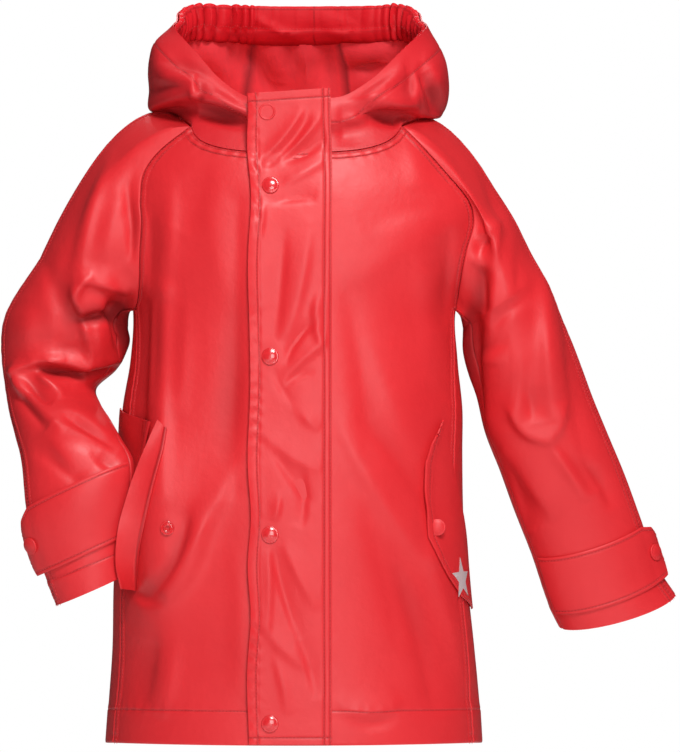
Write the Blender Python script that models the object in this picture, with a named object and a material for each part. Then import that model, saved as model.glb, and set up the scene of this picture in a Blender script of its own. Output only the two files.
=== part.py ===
"""Child's hooded raglan rain jacket, filled out as if worn: construction solids.

The front faces -Y, the wearer's left is +X and +Z is up. The origin lies between the
shoulders, where a wearer carries the jacket. Every cut piece is a closed wall of cloth,
worked out from the tables below, whose sizes are in millimetres.
"""
import math

import bpy
import numpy as np

MM = 0.001

# --- Driving dimensions, in millimetres ---------------------------------------------------
CLOTH = 1.4                 # coated shell fabric
LINING = 1.0                # woven hood lining
SEAM_GAP = 0.38             # between neighbouring pieces
NECK_SEAM_GAP = 0.9         # the hood's own, over the folded neck seam
SQUARENESS = 2.4            # exponent of the torso's rounded plan section
FRONT_NECK_Z = -25.0        # neck seam at centre front
BACK_NECK_Z = 27.0          # neck seam at centre back
FRONT_HEM_Z = -542.0
SIDE_HEM_Z = -546.0
BACK_HEM_Z = -560.0
ARMPIT_Z = -162.0

SHELL_RED = (0.72, 0.035, 0.045)
LINING_RED = (0.58, 0.02, 0.035)
SHELL_ROUGHNESS = 0.35
LINING_ROUGHNESS = 0.75

# --- Resolution: cells along each stretch of a piece --------------------------------------
SIDE_ROWS = 11              # hem to armpit
RAGLAN_ROWS = 8             # armpit to neck
FRONT_COLUMNS = 8           # centre front to side
BACK_COLUMNS = 8            # side to centre back
NECK_CELLS = 2              # half of a sleeve's own stretch of the neck seam
HEAD_ROWS = 6               # sleeve from its raglan seams to the upper arm
ARM_ROWS = 14               # upper arm to cuff
HOOD_ROWS = 8               # hood from neck seam to casing
BRIM_ROWS = 2               # casing
BRIM_GATHERS = 34
CELLS_PER_GATHER = 3
FLAP_COLUMNS = 4
FLAP_TOP_ROWS = (-13, -2, 8, 17, 27)
MOUTH_ROWS = 10
MOUTH_COLUMNS = 2
SIDE_FLAP_ROWS = 12
SIDE_FLAP_COLUMNS = 6
TAB_ROWS = 14
TAB_COLUMNS = 3
TAB_SNAP_PLACE = 2


def table(columns, *rows):
    """Named columns of numbers, one row for each section."""
    return {name: np.array([row[place] for row in rows], float)
            for place, name in enumerate(columns.split())}


# Torso: half widths to the wearer's right and left, depths to front and back, and the
# side seam's place as an angle round the section, from 0 at centre front.
TORSO = table(
    "z right left front back seam",
    (-566, 171, 169, 125, 124, 68),
    (-510, 167, 165.5, 122, 121, 68),
    (-465, 164, 161, 120, 118, 68),
    (-412, 163, 155.5, 119, 115, 68),
    (-350, 160, 151.5, 118, 112, 68),
    (-290, 157, 150.5, 116, 110, 68),
    (-250, 155, 150.5, 113, 109, 69),
    (-207, 148, 146, 110, 108, 72),
    (-158, 146, 145, 107, 107, 76),
    (-112, 156, 166, 104, 106, 76),
    (-82, 160, 173, 101, 105, 76),
    (-60, 160, 171, 97, 102, 76),
    (-38, 157, 157, 91, 98, 76),
    (-17, 144, 141, 83.5, 91, 76),
    (4, 122, 124, 74, 82, 76),
    (30, 104, 112, 60, 69, 76))

# Raglan seams from armpit to neck: distance from the centre plane at each height.
RAGLAN_FRONT = table(
    "share z right left",
    (0.0, -162, 143.0, 142.5),
    (0.10, -146, 137.3, 145.0),
    (0.32, -111, 135.5, 151.5),
    (0.48, -84, 134.0, 158.0),
    (0.62, -64, 135.5, 152.8),
    (0.76, -40, 132.0, 132.0),
    (0.88, -20, 117.0, 113.0),
    (1.0, 0.0, 91.3, 95.0))
RAGLAN_BACK = table(
    "share z angle",
    (0.0, -162, 76),
    (0.12, -159, 93),
    (0.25, -146, 113),
    (0.42, -115, 126),
    (0.60, -72, 134),
    (0.80, -22, 140),
    (1.0, 22, 144))

# Sleeves: where each ring crosses the jacket's outline, seen from the front, with the
# ring's centre and half depth along Y.
RIGHT_ARM = table(
    "in_x in_z out_x out_z y depth drop",
    (-156, -177, -233, -115, 4, 61, 0),
    (-157, -194, -261, -166, 10, 55, 0),
    (-165, -214, -265, -193, 13, 50, 2),
    (-179, -232, -262, -223, 8, 46, 0),
    (-175, -246, -257, -250, -6, 44, -6),
    (-163, -263, -249, -275, -32, 41, -12),
    (-151, -279, -240, -301, -65, 33, -10),
    (-141, -296, -235, -338, -80, 28, -4),
    (-146, -361, -219, -394, -80, 25, 0),
    (-147, -395, -208, -422, -80, 24, 1))
LEFT_ARM = table(
    "in_x in_z out_x out_z y depth drop",
    (155, -178, 225, -131, 4, 60, 0),
    (156, -199, 236, -161, 4, 54, 0),
    (159, -220, 249, -189, 4, 50, 0),
    (163, -239, 258, -212, 6, 47, 0),
    (171, -271, 268, -239, 8, 43, 2),
    (185, -307, 283, -275, 11, 39, 5),
    (197, -340, 297, -308, 15, 35, 8),
    (213, -380, 313, -351, 20, 31, 11),
    (231, -431, 331, -400, 25, 28, 12),
    (239, -447, 344, -419, 27, 28, 10))

# Hood, lying back and standing open: its low fold, its belly and its brim, each by its
# distance from the neck's axis and its height, at angles from 0 at the front to 180 behind.
HOOD = table(
    "angle fold_r fold_z belly_r belly_z brim_r brim_z",
    (0, 82, -6, 80, 12, 76, 31),
    (28, 90, -3, 90, 12, 87, 25),
    (45, 99, 8, 101, 26, 90, 40),
    (68, 116, 22, 122, 52, 97, 70),
    (90, 130, 27, 132, 71, 109, 92),
    (115, 140, 32, 150, 66, 121, 108),
    (140, 150, 9, 166, 47, 122, 119),
    (160, 153, -50, 177, 14, 118, 122),
    (180, 152, -60, 181, 4, 116, 122))
SWELL = {"angle": 43.0, "angle_spread": 13.0, "z": -345.0, "z_spread": 80.0, "height": 18.0}

# Largest folds of the fronts, each along a bent line: ends, bend as a share of the length,
# half width, and height, below zero for a trough.
FRONT_FOLDS = table(
    "x0 z0 x1 z1 bend width height",
    (-93, -350, -128, -425, -0.18, 11, 4.0),
    (-60, -282, -120, -428, -0.15, 13, -3.0),
    (-128, -210, -118, -262, 0.1, 10, 3.0))

# Storm flap over the closure: its edges and how far it stands out from centre front.
FLAP = table(
    "z right left stand",
    (-540, -39, 33.5, 0.8),
    (-400, -38, 33.5, 0.8),
    (-250, -38, 33.5, 0.8),
    (-110, -38, 33.5, 0.8),
    (-25, -39, 33.5, 1.0),
    (5, -40.5, 32.5, 3.0),
    (27, -42, 32, 4.0))
FLAP_LEFT_RISE = 5.0        # the flap's top edge climbs towards its sewn side
SNAPS = table("x z", (-23.6, 11), (-20.3, -54), (-20.3, -204), (-20.3, -359), (-20.3, -523))
SNAP_RADIUS = 7.5
SNAP_HEIGHT = 3.0
SNAP_SIDES = 14
SNAP_SEAT = 0.6             # clearance under a cap, over the cloth's slight curve

# Right pocket: turned and stitched front edge of its mouth, standing out over the cuff.
MOUTH = table(
    "share stitch_x stitch_z edge_x edge_z edge_y",
    (0.0, -110.5, -268, -119.5, -259, -101),
    (0.15, -113.5, -286, -128, -279, -106),
    (0.35, -120.5, -312, -139, -306, -109),
    (0.6, -129, -345, -153, -352, -112),
    (0.8, -136, -376, -156, -380, -111),
    (1.0, -140, -410, -152, -407, -103))
# Right pocket flap, pushed open behind the cuff: edges as angles round the torso.
OPEN_FLAP = table(
    "z_front z_side front side stand",
    (-259, -248, 52, 86, 3.0),
    (-300, -290, 57, 84, 0.5),
    (-345, -340, 61, 83, 0.3),
    (-385, -388, 66, 82, 0.3))
# Left pocket flap, closed: free edge towards the front, sewn edge towards the side.
CLOSED_FLAP = table(
    "z_free z_sewn free sewn",
    (-267, -260, 52.5, 56),
    (-281, -276, 48, 59.5),
    (-297, -297, 45.5, 64.5),
    (-330, -331, 45, 73),
    (-362, -363, 46, 83),
    (-380, -385, 50, 89),
    (-400, -403, 57, 95),
    (-417, -417, 66, 100),
    (-429, -430, 82, 104))
# Cuff tabs: turns round the sleeve in degrees, from the underarm seam to the pointed tip.
TAB = table(
    "turn upper lower stand",
    (150, 0.0, 1.0, 1.2),
    (128, 0.0, 1.0, 1.2),
    (104, 0.0, 1.0, 1.2),
    (78, 0.0, 1.0, 1.2),
    (50, 0.0, 1.0, 1.4),
    (25, 0.0, 1.0, 3.0),
    (8, 0.12, 1.0, 6.5),
    (-2, 0.32, 0.78, 8.0))
SHOULDER_NECK = {"right": (-102.0, 2.0, 13.0), "left": (110.0, 2.0, 12.0)}
UNDERARM_SPREAD = 1.0       # how far the sleeve turns away from the body under the arm
SHOULDER_SLOPE = {"right": 0.5, "left": 0.1}
UNDERARM_TURN = 160.0       # sleeve seams, as turns round the sleeve
OVERARM_TURN = 18.0
# How far a sleeve runs on from its raglan seam, and into the upper arm, before it turns.
HEAD_LEAVE = {"right": 1.0, "left": 0.8}
HEAD_ARRIVE = {"right": 0.6, "left": 0.3}
HOOD_LEFT_WIDER = {"fold": 1.0, "belly": 2.0, "brim": 9.0}
HOOD_LEFT_LOWER = 6.0
HOOD_SEAM_ANGLE = 157.0     # where the hood's centre panel meets its sides
GATHER_DEPTH = 2.4
LINING_GAP = 0.8
BRIM_GAP = 1.3
SHARP_FOLD = 0.3            # cosine of the turn beyond which two walls are not mitred
PANEL_GAP = 1.2            # under a piece that lies over a curved panel
MOUTH_GAP = 0.5             # under the stitch line of the pocket's turned edge
FLAP_ABOVE_HEM = 1.0
FLAP_BLEND = 40.0           # height over which the flap turns from the chest to the hood
TAB_UPPER_ROW = 7           # rows of the arm tables that bound the cuff tabs
TAB_LOWER_ROW = 8
POCKET_SNAPS = (
    ("pocket_stud_right", -110.0, -354.0, 0.0, 5.8, 2.6),
    ("pocket_snap_left", 126.0, -354.0, 2.2, SNAP_RADIUS, 0.0))
BRIM_DEPTH = 25.0           # turned-in casing that holds the brim's elastic


def read(source, column, key, at):
    """A column's value between its rows, on a smooth curve through them."""
    return through(source[key], source[column], at)


def through(places, values, at):
    """Cubic curve through values given at rising places."""
    places, values, at = (np.asarray(item, float) for item in (places, values, at))
    slopes = np.gradient(values, places, axis=0)
    cell = np.clip(np.searchsorted(places, at, side="right") - 1, 0, len(places) - 2)
    span = places[cell + 1] - places[cell]
    share = np.clip((at - places[cell]) / span, 0, 1)
    extra = (..., *[None] * (values.ndim - 1))
    share, span = share[extra], span[extra]
    rise = share * share * (3 - 2 * share)
    return (values[cell] * (1 - rise) + values[cell + 1] * rise
            + slopes[cell] * span * share * (1 - share) ** 2
            - slopes[cell + 1] * span * share ** 2 * (1 - share))


def unit(vectors):
    return vectors / np.maximum(np.linalg.norm(vectors, axis=-1, keepdims=True), 1e-9)


def side_column(side):
    return "right" if side < 0 else "left"


def torso_point(side, angle, z):
    """Point on the torso at an angle in degrees from centre front, round to centre back."""
    wide = np.where(side < 0, read(TORSO, "right", "z", z), read(TORSO, "left", "z", z))
    front = read(TORSO, "front", "z", z)
    back = read(TORSO, "back", "z", z)
    turn = np.radians(angle)
    power = 2 / SQUARENESS
    x = side * wide * np.abs(np.sin(turn)) ** power
    y = np.where(turn < math.pi / 2, -front, back) * np.abs(np.cos(turn)) ** power
    return np.stack(np.broadcast_arrays(x, y, z), axis=-1)


def pocket_swell(side, angle, z):
    """Height of the front pushed out beside the right pocket, where the cuff is tucked in."""
    across = (angle - SWELL["angle"]) / SWELL["angle_spread"]
    along = (z - SWELL["z"]) / SWELL["z_spread"]
    return (side < 0) * SWELL["height"] * np.exp(-across ** 2 - along ** 2)


def torso_surface(side, angle, z, lift=0.0):
    """Point of the torso's cloth, swollen and creased, moved out by lift."""
    side, angle, z = np.broadcast_arrays(side, np.asarray(angle, float), z)
    step_angle, step_z = 0.5, 1.0
    low = np.maximum(angle - step_angle, 0.05)
    along = torso_point(side, angle + step_angle, z) - torso_point(side, low, z)
    up = torso_point(side, angle, z + step_z) - torso_point(side, angle, z - step_z)
    normal = unit(np.cross(along, up)) * side[..., None]
    point = torso_point(side, angle, z)
    height = pocket_swell(side, angle, z) + relief(FRONT_FOLDS, point[..., 0], z) * (angle < 90)
    return point + normal * (height + lift)[..., None]


def relief(folds, x, z):
    """Height of soft folds that run along bent lines, at places seen from the front."""
    height = np.zeros(np.broadcast(x, z).shape)
    steps = np.linspace(0, 1, 13)
    for row in zip(*folds.values()):
        fold = dict(zip(folds, row))
        start = np.array([fold["x0"], fold["z0"]])
        end = np.array([fold["x1"], fold["z1"]])
        along = end - start
        middle = (start + end) / 2 + fold["bend"] * np.array([-along[1], along[0]])
        best = np.full(height.shape, np.inf)
        place = np.zeros(height.shape)
        for step in steps:
            line = start * (1 - step) ** 2 + 2 * middle * step * (1 - step) + end * step ** 2
            distance = np.hypot(x - line[0], z - line[1])
            place = np.where(distance < best, step, place)
            best = np.minimum(best, distance)
        height += fold["height"] * np.exp(-(best / fold["width"]) ** 2)
    return height


def on_front(x, z, lift=0.0):
    """Point on the front's cloth over a place seen from the front, moved out by lift."""
    side = np.where(x < 0, -1, 1)
    wide = np.where(x < 0, read(TORSO, "right", "z", z), read(TORSO, "left", "z", z))
    angle = np.degrees(np.arcsin(np.clip(np.abs(x) / wide, 0, 1) ** (SQUARENESS / 2)))
    return torso_surface(side, angle, z, lift)


def torso_angle(side, x, z):
    """Angle at which the front of the torso reaches a distance x from the centre plane."""
    wide = read(TORSO, side_column(side), "z", z)
    return np.degrees(np.arcsin(np.clip(np.abs(x) / wide, 0, 1) ** (SQUARENESS / 2)))


def side_edge(side, back):
    """A body panel's outer edge from hem to neck, as angles and heights, with raglan last."""
    seam_z = np.linspace(SIDE_HEM_Z, ARMPIT_Z, SIDE_ROWS + 1)
    seam_angle = read(TORSO, "seam", "z", seam_z)
    share = np.linspace(0, 1, RAGLAN_ROWS + 1)[1:]
    if back:
        raglan_z = read(RAGLAN_BACK, "z", "share", share)
        raglan_angle = read(RAGLAN_BACK, "angle", "share", share)
    else:
        raglan_z = read(RAGLAN_FRONT, "z", "share", share)
        raglan_x = read(RAGLAN_FRONT, side_column(side), "share", share)
        raglan_angle = torso_angle(side, raglan_x, raglan_z)
    return np.append(seam_angle, raglan_angle), np.append(seam_z, raglan_z)


def centre_heights(hem, neck):
    """Heights of a body panel's rows on the centre line."""
    below = np.linspace(hem, ARMPIT_Z, SIDE_ROWS + 1)
    above = np.linspace(ARMPIT_Z, neck, RAGLAN_ROWS + 1)[1:]
    return np.append(below, above)


def front_panel(side):
    """Rows from hem to neck, columns from centre front to the outer edge."""
    edge_angle, edge_z = side_edge(side, back=False)
    middle_z = centre_heights(FRONT_HEM_Z, FRONT_NECK_Z)
    across = np.linspace(0, 1, FRONT_COLUMNS + 1)
    lift = across ** 2.6
    angle = edge_angle[:, None] * across[None, :]
    z = middle_z[:, None] * (1 - lift) + edge_z[:, None] * lift
    return torso_surface(side, angle, z)


def back_half(side):
    """Rows from hem to neck, columns from the side edge to centre back."""
    edge_angle, edge_z = side_edge(side, back=True)
    middle_z = centre_heights(BACK_HEM_Z, BACK_NECK_Z)
    across = np.linspace(0, 1, BACK_COLUMNS + 1)
    lift = (1 - across) ** 1.6
    angle = edge_angle[:, None] * (1 - across) + 180 * across
    z = middle_z[:, None] * (1 - lift) + edge_z[:, None] * lift
    return torso_surface(side, angle, z)


def armhole(side, back):
    """Sleeve's first ring: armpit, raglan seam, then its stretch of the neck seam."""
    edge_angle, edge_z = side_edge(side, back)
    seam = torso_surface(side, edge_angle[SIDE_ROWS:], edge_z[SIDE_ROWS:])
    return np.vstack([seam, neck_stretch(side, back)])


def neck_stretch(side, back):
    """Neck seam on the sleeve, from a raglan seam's top to the shoulder's middle."""
    front_angle, front_z = side_edge(side, back=False)
    back_angle, back_z = side_edge(side, back=True)
    front_top = torso_surface(side, front_angle[-1], front_z[-1])
    back_top = torso_surface(side, back_angle[-1], back_z[-1])
    middle = np.array(SHOULDER_NECK[side_column(side)])
    ring = np.array([front_top, middle, back_top])
    if back:
        ring = ring[::-1]
    places = np.linspace(0, 1, NECK_CELLS + 1)[1:]
    return through([0, 1, 2], ring, places)


def arm_rings(side):
    """Places along the arm, and each table ring's centre, outward and forward half axes."""
    arm = RIGHT_ARM if side < 0 else LEFT_ARM
    inner = np.stack([arm["in_x"], arm["y"], arm["in_z"]], axis=-1)
    outer = np.stack([arm["out_x"], arm["y"], arm["out_z"]], axis=-1)
    forward = np.stack([0 * arm["y"], -arm["depth"], -arm["drop"]], axis=-1)
    centre = (inner + outer) / 2
    along = np.append(0, np.cumsum(np.linalg.norm(np.diff(centre, axis=0), axis=1)))
    return along / along[-1], centre, (outer - inner) / 2, forward


def arm_ring(side, share, turn):
    """Points and normals round the sleeve at a share of its length; turn 90 is the front."""
    places, centres, outwards, forwards = arm_rings(side)
    centre = through(places, centres, share)
    outward = through(places, outwards, share)
    forward = through(places, forwards, share)
    angle = np.radians(turn)[:, None]
    ring = centre + outward * np.cos(angle) + forward * np.sin(angle)
    normal = (outward / np.dot(outward, outward) * np.cos(angle)
              + forward / np.dot(forward, forward) * np.sin(angle))
    return ring, unit(normal)


def arm_axis(side, share):
    """Direction along the sleeve towards its cuff."""
    places, centres = arm_rings(side)[:2]
    step = 0.02
    ahead = through(places, centres, min(share + step, 1))
    return unit(ahead - through(places, centres, max(share - step, 0)))


def sleeve_half(side, back):
    """Rows from armhole to cuff, columns from the underarm seam to the overarm seam."""
    start = armhole(side, back)
    columns = len(start)
    over_turn = OVERARM_TURN + 360 if back else OVERARM_TURN
    turn = np.linspace(UNDERARM_TURN, over_turn, columns)
    first = arm_ring(side, 0.0, turn)[0]
    axis = arm_axis(side, 0.0)
    chord = first - start
    reach = np.linalg.norm(chord, axis=1, keepdims=True)
    over = (np.linspace(0, 1, columns) ** 2)[:, None]
    flat = np.array([side * 1.0, 0.0, SHOULDER_SLOPE[side_column(side)]])
    clear = np.array([side * UNDERARM_SPREAD, 0.0, 0.0])
    leave = unit((unit(chord) + clear) * (1 - over) + flat * over)
    leave_length = reach * HEAD_LEAVE[side_column(side)]
    arrive_length = reach * HEAD_ARRIVE[side_column(side)]
    rows = []
    for share in np.linspace(0, 1, HEAD_ROWS + 1):
        rise = share * share * (3 - 2 * share)
        rows.append(start * (1 - rise) + first * rise
                    + leave * leave_length * share * (1 - share) ** 2
                    - axis * arrive_length * share ** 2 * (1 - share))
    for share in np.linspace(0, 1, ARM_ROWS + 1)[1:]:
        rows.append(arm_ring(side, share, turn)[0])
    return np.array(rows)


def plan_angle(points):
    """Angle round the neck, 0 at the front and 180 behind, of points on one side."""
    return np.degrees(np.arctan2(np.abs(points[:, 0]), -points[:, 1]))


def neck_ring(side):
    """Neck seam from centre front round one side to centre back."""
    front = front_panel(side)[-1]
    shoulder = armhole(side, back=False)[RAGLAN_ROWS + 1:]
    behind = armhole(side, back=True)[RAGLAN_ROWS:-1][::-1]
    return np.vstack([front, shoulder, behind, back_half(side)[-1][1:]])


def hood_lines(side):
    """Hood's profiles from neck to brim over one half of the neck seam, finely sampled."""
    ring = neck_ring(side)
    angle = plan_angle(ring)
    turn = np.radians(angle)
    spread = np.sin(turn) ** 2 * (side > 0)

    def place(name, drop):
        radius = read(HOOD, name + "_r", "angle", angle) + HOOD_LEFT_WIDER[name] * spread
        height = read(HOOD, name + "_z", "angle", angle) - drop * spread
        return np.stack([side * radius * np.sin(turn), -radius * np.cos(turn), height], -1)

    fold, belly = place("fold", HOOD_LEFT_LOWER), place("belly", HOOD_LEFT_LOWER)
    neck = ring + np.array([0, 0, NECK_SEAM_GAP])
    knots = np.array([neck, fold, belly, place("brim", 0)])
    return np.array([through([0, 1, 2, 3], knots, at) for at in np.linspace(0, 3, 91)])


def hood_grid():
    """Whole hood: rows from neck to brim, columns from centre front round its right side."""
    right, left = hood_lines(-1), hood_lines(1)
    lines = np.concatenate([right, left[:, ::-1][:, 1:]], axis=1)
    columns = []
    for line in lines.transpose(1, 0, 2):
        along = np.append(0, np.cumsum(np.linalg.norm(np.diff(line, axis=0), axis=1)))
        casing = along[-1] - BRIM_DEPTH
        places = np.append(np.linspace(0, casing, HOOD_ROWS + 1),
                           np.linspace(casing, along[-1], BRIM_ROWS + 1)[1:])
        columns.append(np.stack([np.interp(places, along, line[:, axis]) for axis in range(3)], -1))
    return np.array(columns).transpose(1, 0, 2)


def hood_seams(grid):
    """Columns nearest to the seams between the hood's sides and its centre panel."""
    half = grid.shape[1] // 2
    angle = plan_angle(grid[0])
    reach = np.abs(angle - HOOD_SEAM_ANGLE)
    return int(np.argmin(reach[:half])), half + int(np.argmin(reach[half:]))


# --- Cloth walls --------------------------------------------------------------------------

def vertex_normals(grid):
    """Outward normals of a grid of points; rows run up or out, columns to the left."""
    down_rows = np.gradient(grid, axis=0)
    across = np.gradient(grid, axis=1)
    return unit(np.cross(across, down_rows))


def shared_normals(grids):
    """Normals of several grids, averaged where they meet, but not from body to sleeve at the
    sharp fold under the arm."""
    normals = {name: vertex_normals(grid) for name, grid in grids.items()}
    keys = {name: [tuple(key) for key in np.round(grid, 3).reshape(-1, 3)]
            for name, grid in grids.items()}
    sleeve, body = {}, {}
    for name in grids:
        total = sleeve if name.startswith("sleeve") else body
        for key, normal in zip(keys[name], normals[name].reshape(-1, 3)):
            total[key] = total.get(key, 0) + normal
    for name in grids:
        mine, other = (sleeve, body) if name.startswith("sleeve") else (body, sleeve)
        shared = []
        for key in keys[name]:
            here, beyond = unit(mine[key]), unit(other.get(key, mine[key]))
            shared.append(unit(here + beyond) if here @ beyond > SHARP_FOLD else here)
        normals[name] = np.array(shared).reshape(grids[name].shape)
    return normals


def drawn_in(grid, normals, amount):
    """The grid with each edge pulled in across its seam, to leave the seam's gap."""
    grid = grid.copy()
    source, deep = grid.copy(), 3
    edges = ((0, deep), (-1, -1 - deep))
    for edge, within in edges:
        deep_row = max(min(within, len(source) - 1), -len(source))
        grid[edge] += pull(source[edge], source[deep_row], normals[edge]) * amount
    for edge, within in edges:
        deep_column = max(min(within, source.shape[1] - 1), -source.shape[1])
        line, inside = source[:, edge], source[:, deep_column]
        grid[:, edge] += pull(line, inside, normals[:, edge]) * amount
    return grid


def pull(line, inside, normals):
    """Unit directions from a seam into its piece, square to the seam and in its cloth."""
    across = unit(np.cross(normals, np.gradient(line, axis=0)))
    return across * np.sign(np.sum(across * (inside - line), axis=1, keepdims=True))


def wall_mesh(name, outer, inner):
    """Closed wall between two grids of points, cut into the same triangles on both faces."""
    rows, columns = outer.shape[:2]
    count = rows * columns
    points = np.vstack([outer.reshape(-1, 3), inner.reshape(-1, 3)]) * MM
    place = np.arange(count).reshape(rows, columns)
    faces = []
    a, b, c, d = place[:-1, :-1], place[:-1, 1:], place[1:, 1:], place[1:, :-1]
    for corners in ((a, b, c), (a, c, d), (a + count, c + count, b + count),
                    (a + count, d + count, c + count)):
        faces.extend(zip(*(corner.ravel().tolist() for corner in corners)))
    rim = np.concatenate([place[0, :-1], place[:-1, -1], place[-1, :0:-1], place[:0:-1, 0]])
    for here, ahead in zip(rim.tolist(), np.roll(rim, -1).tolist()):
        faces.append((here, here + count, ahead + count, ahead))
    mesh = bpy.data.meshes.new(name)
    mesh.from_pydata([tuple(point) for point in points], [], faces)
    return mesh


def finish(name, mesh, colour, roughness, metallic=0.0):
    """Object with its own material, shaded smooth but for its sharp edges."""
    mesh.validate()
    material = bpy.data.materials.new(name)
    material.use_nodes = True
    shader = material.node_tree.nodes["Principled BSDF"]
    shader.inputs["Base Color"].default_value = (*colour, 1)
    shader.inputs["Roughness"].default_value = roughness
    shader.inputs["Metallic"].default_value = metallic
    mesh.materials.append(material)
    mesh.shade_smooth()
    mesh.set_sharp_from_angle(angle=math.radians(50))
    piece = bpy.data.objects.new(name, mesh)
    bpy.context.collection.objects.link(piece)
    return piece


def clear_scene():
    for item in list(bpy.data.objects):
        bpy.data.objects.remove(item)


def outward(grid, side):
    """Columns ordered so that the cloth's normals point out of the jacket."""
    return grid if side > 0 else grid[:, ::-1]


def body_grids():
    """Outer faces of the body and the sleeves, by piece."""
    grids = {"front_right": outward(front_panel(-1), -1),
             "front_left": outward(front_panel(1), 1)}
    left, right = back_half(1), back_half(-1)
    grids["back"] = np.concatenate([left, right[:, ::-1][:, 1:]], axis=1)
    for side, word in ((-1, "right"), (1, "left")):
        grids[f"sleeve_{word}_front"] = outward(sleeve_half(side, back=False), -side)
        grids[f"sleeve_{word}_back"] = outward(sleeve_half(side, back=True), side)
    return grids


def build_panels(grids, normals, thickness, colour, roughness, sunk=0.0):
    """Walls of cloth under a set of grids that share their seams."""
    for name, grid in grids.items():
        outer = drawn_in(grid, normals[name], SEAM_GAP / 2) - normals[name] * sunk
        mesh = wall_mesh(name, outer, outer - normals[name] * thickness)
        finish(name, mesh, colour, roughness)


def build_hood():
    """Three shell panels, their lining below the casing, and the casing itself."""
    grid = hood_grid()[:, ::-1]
    normals = vertex_normals(grid)
    last = grid.shape[1] - 1
    first_seam, second_seam = (last - column for column in hood_seams(grid[:, ::-1])[::-1])
    parts = {"left": slice(0, first_seam + 1), "center": slice(first_seam, second_seam + 1),
             "right": slice(second_seam, last + 1)}
    shell, lining = {}, {}
    shell_normals, lining_normals = {}, {}
    for word, part in parts.items():
        shell[f"hood_{word}"] = grid[:, part]
        shell_normals[f"hood_{word}"] = normals[:, part]
        lining[f"hood_lining_{word}"] = grid[:HOOD_ROWS + 1, part]
        lining_normals[f"hood_lining_{word}"] = normals[:HOOD_ROWS + 1, part]
    build_panels(shell, shell_normals, CLOTH, SHELL_RED, SHELL_ROUGHNESS)
    build_panels(lining, lining_normals, LINING, LINING_RED, LINING_ROUGHNESS,
                 sunk=CLOTH + LINING_GAP)
    build_brim(grid[HOOD_ROWS:], normals[HOOD_ROWS:])


def build_brim(band, normals):
    """Turned-in casing inside the brim, gathered by its elastic."""
    columns = band.shape[1]
    band = drawn_in(band, normals, SEAM_GAP)
    dense = np.linspace(0, columns - 1, BRIM_GATHERS * CELLS_PER_GATHER + 1)
    cell = np.minimum(dense.astype(int), columns - 2)
    part = (dense - cell)[None, :, None]
    band = band[:, cell] * (1 - part) + band[:, cell + 1] * part
    normals = normals[:, cell] * (1 - part) + normals[:, cell + 1] * part
    share = dense / (columns - 1)
    behind = np.clip(1.2 - 2.2 * np.abs(share - 0.5), 0, 1)
    wave = 0.5 - 0.5 * np.cos(2 * math.pi * BRIM_GATHERS * share)
    bulge = (GATHER_DEPTH * wave * behind)[None, :, None]
    hem = band - normals * (CLOTH + BRIM_GAP)
    face = hem - normals * (CLOTH + bulge)
    finish("hood_brim", wall_mesh("hood_brim", hem, face), SHELL_RED, SHELL_ROUGHNESS)


def flap_point(x, z):
    """Point on the storm flap's outer face; above the neck it stands before the hood."""
    stand = read(FLAP, "stand", "z", z) + CLOTH
    low = on_front(x, np.minimum(z, FRONT_NECK_Z), stand)
    neck_y = on_front(x, np.full(z.shape, FRONT_NECK_Z), stand)[..., 1]
    above = np.clip((z - FRONT_NECK_Z) / FLAP_BLEND, 0, 1)
    hood_y = -read(HOOD, "belly_r", "angle", 0 * z) - stand - CLOTH
    y = np.where(z > FRONT_NECK_Z, neck_y * (1 - above) + hood_y * above, low[..., 1])
    return np.stack(np.broadcast_arrays(x, y, z), axis=-1)


def build_storm_flap():
    rows = np.append(centre_heights(FRONT_HEM_Z + FLAP_ABOVE_HEM, FRONT_NECK_Z), FLAP_TOP_ROWS)
    across = np.linspace(0, 1, FLAP_COLUMNS + 1)
    right = read(FLAP, "right", "z", rows)[:, None]
    left = read(FLAP, "left", "z", rows)[:, None]
    x = right * (1 - across) + left * across
    rise = np.clip((rows - FRONT_NECK_Z) / (rows[-1] - FRONT_NECK_Z), 0, 1)[:, None]
    z = rows[:, None] + FLAP_LEFT_RISE * rise * across
    outer = flap_point(x, z)
    normals = vertex_normals(outer)
    finish("storm_flap", wall_mesh("storm_flap", outer, outer - normals * CLOTH), SHELL_RED,
           SHELL_ROUGHNESS)


def cap_mesh(name, centre, normal, radius, height, bore=0.0):
    """Round stud or cap standing on the cloth: a turned solid about its normal."""
    normal = unit(np.asarray(normal, float))
    aside = unit(np.cross(normal, [0.0, 0.0, 1.0]))
    up = np.cross(aside, normal)
    profile = [(bore, 0.0), (radius, 0.0), (radius, 0.35 * height), (0.8 * radius, 0.8 * height),
               (max(bore, 0.3 * radius), height)]
    turns = np.linspace(0, 2 * math.pi, SNAP_SIDES, endpoint=False)
    spokes = np.cos(turns)[:, None] * aside + np.sin(turns)[:, None] * up
    rings = [centre + spokes * reach + normal * rise for reach, rise in profile if reach > 0]
    points = np.vstack(rings)
    faces = []
    count = len(rings)
    for ring in range(count if bore else count - 1):
        for spoke in range(SNAP_SIDES):
            ahead = (spoke + 1) % SNAP_SIDES
            low, high = ring * SNAP_SIDES, (ring + 1) % count * SNAP_SIDES
            faces.append((low + spoke, high + spoke, high + ahead, low + ahead))
    if not bore:
        faces.append(tuple(range(SNAP_SIDES)))
        faces.append(tuple((count - 1) * SNAP_SIDES + spoke for spoke in range(SNAP_SIDES))[::-1])
    mesh = bpy.data.meshes.new(name)
    mesh.from_pydata([tuple(point) for point in points * MM], [], faces)
    return mesh


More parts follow.
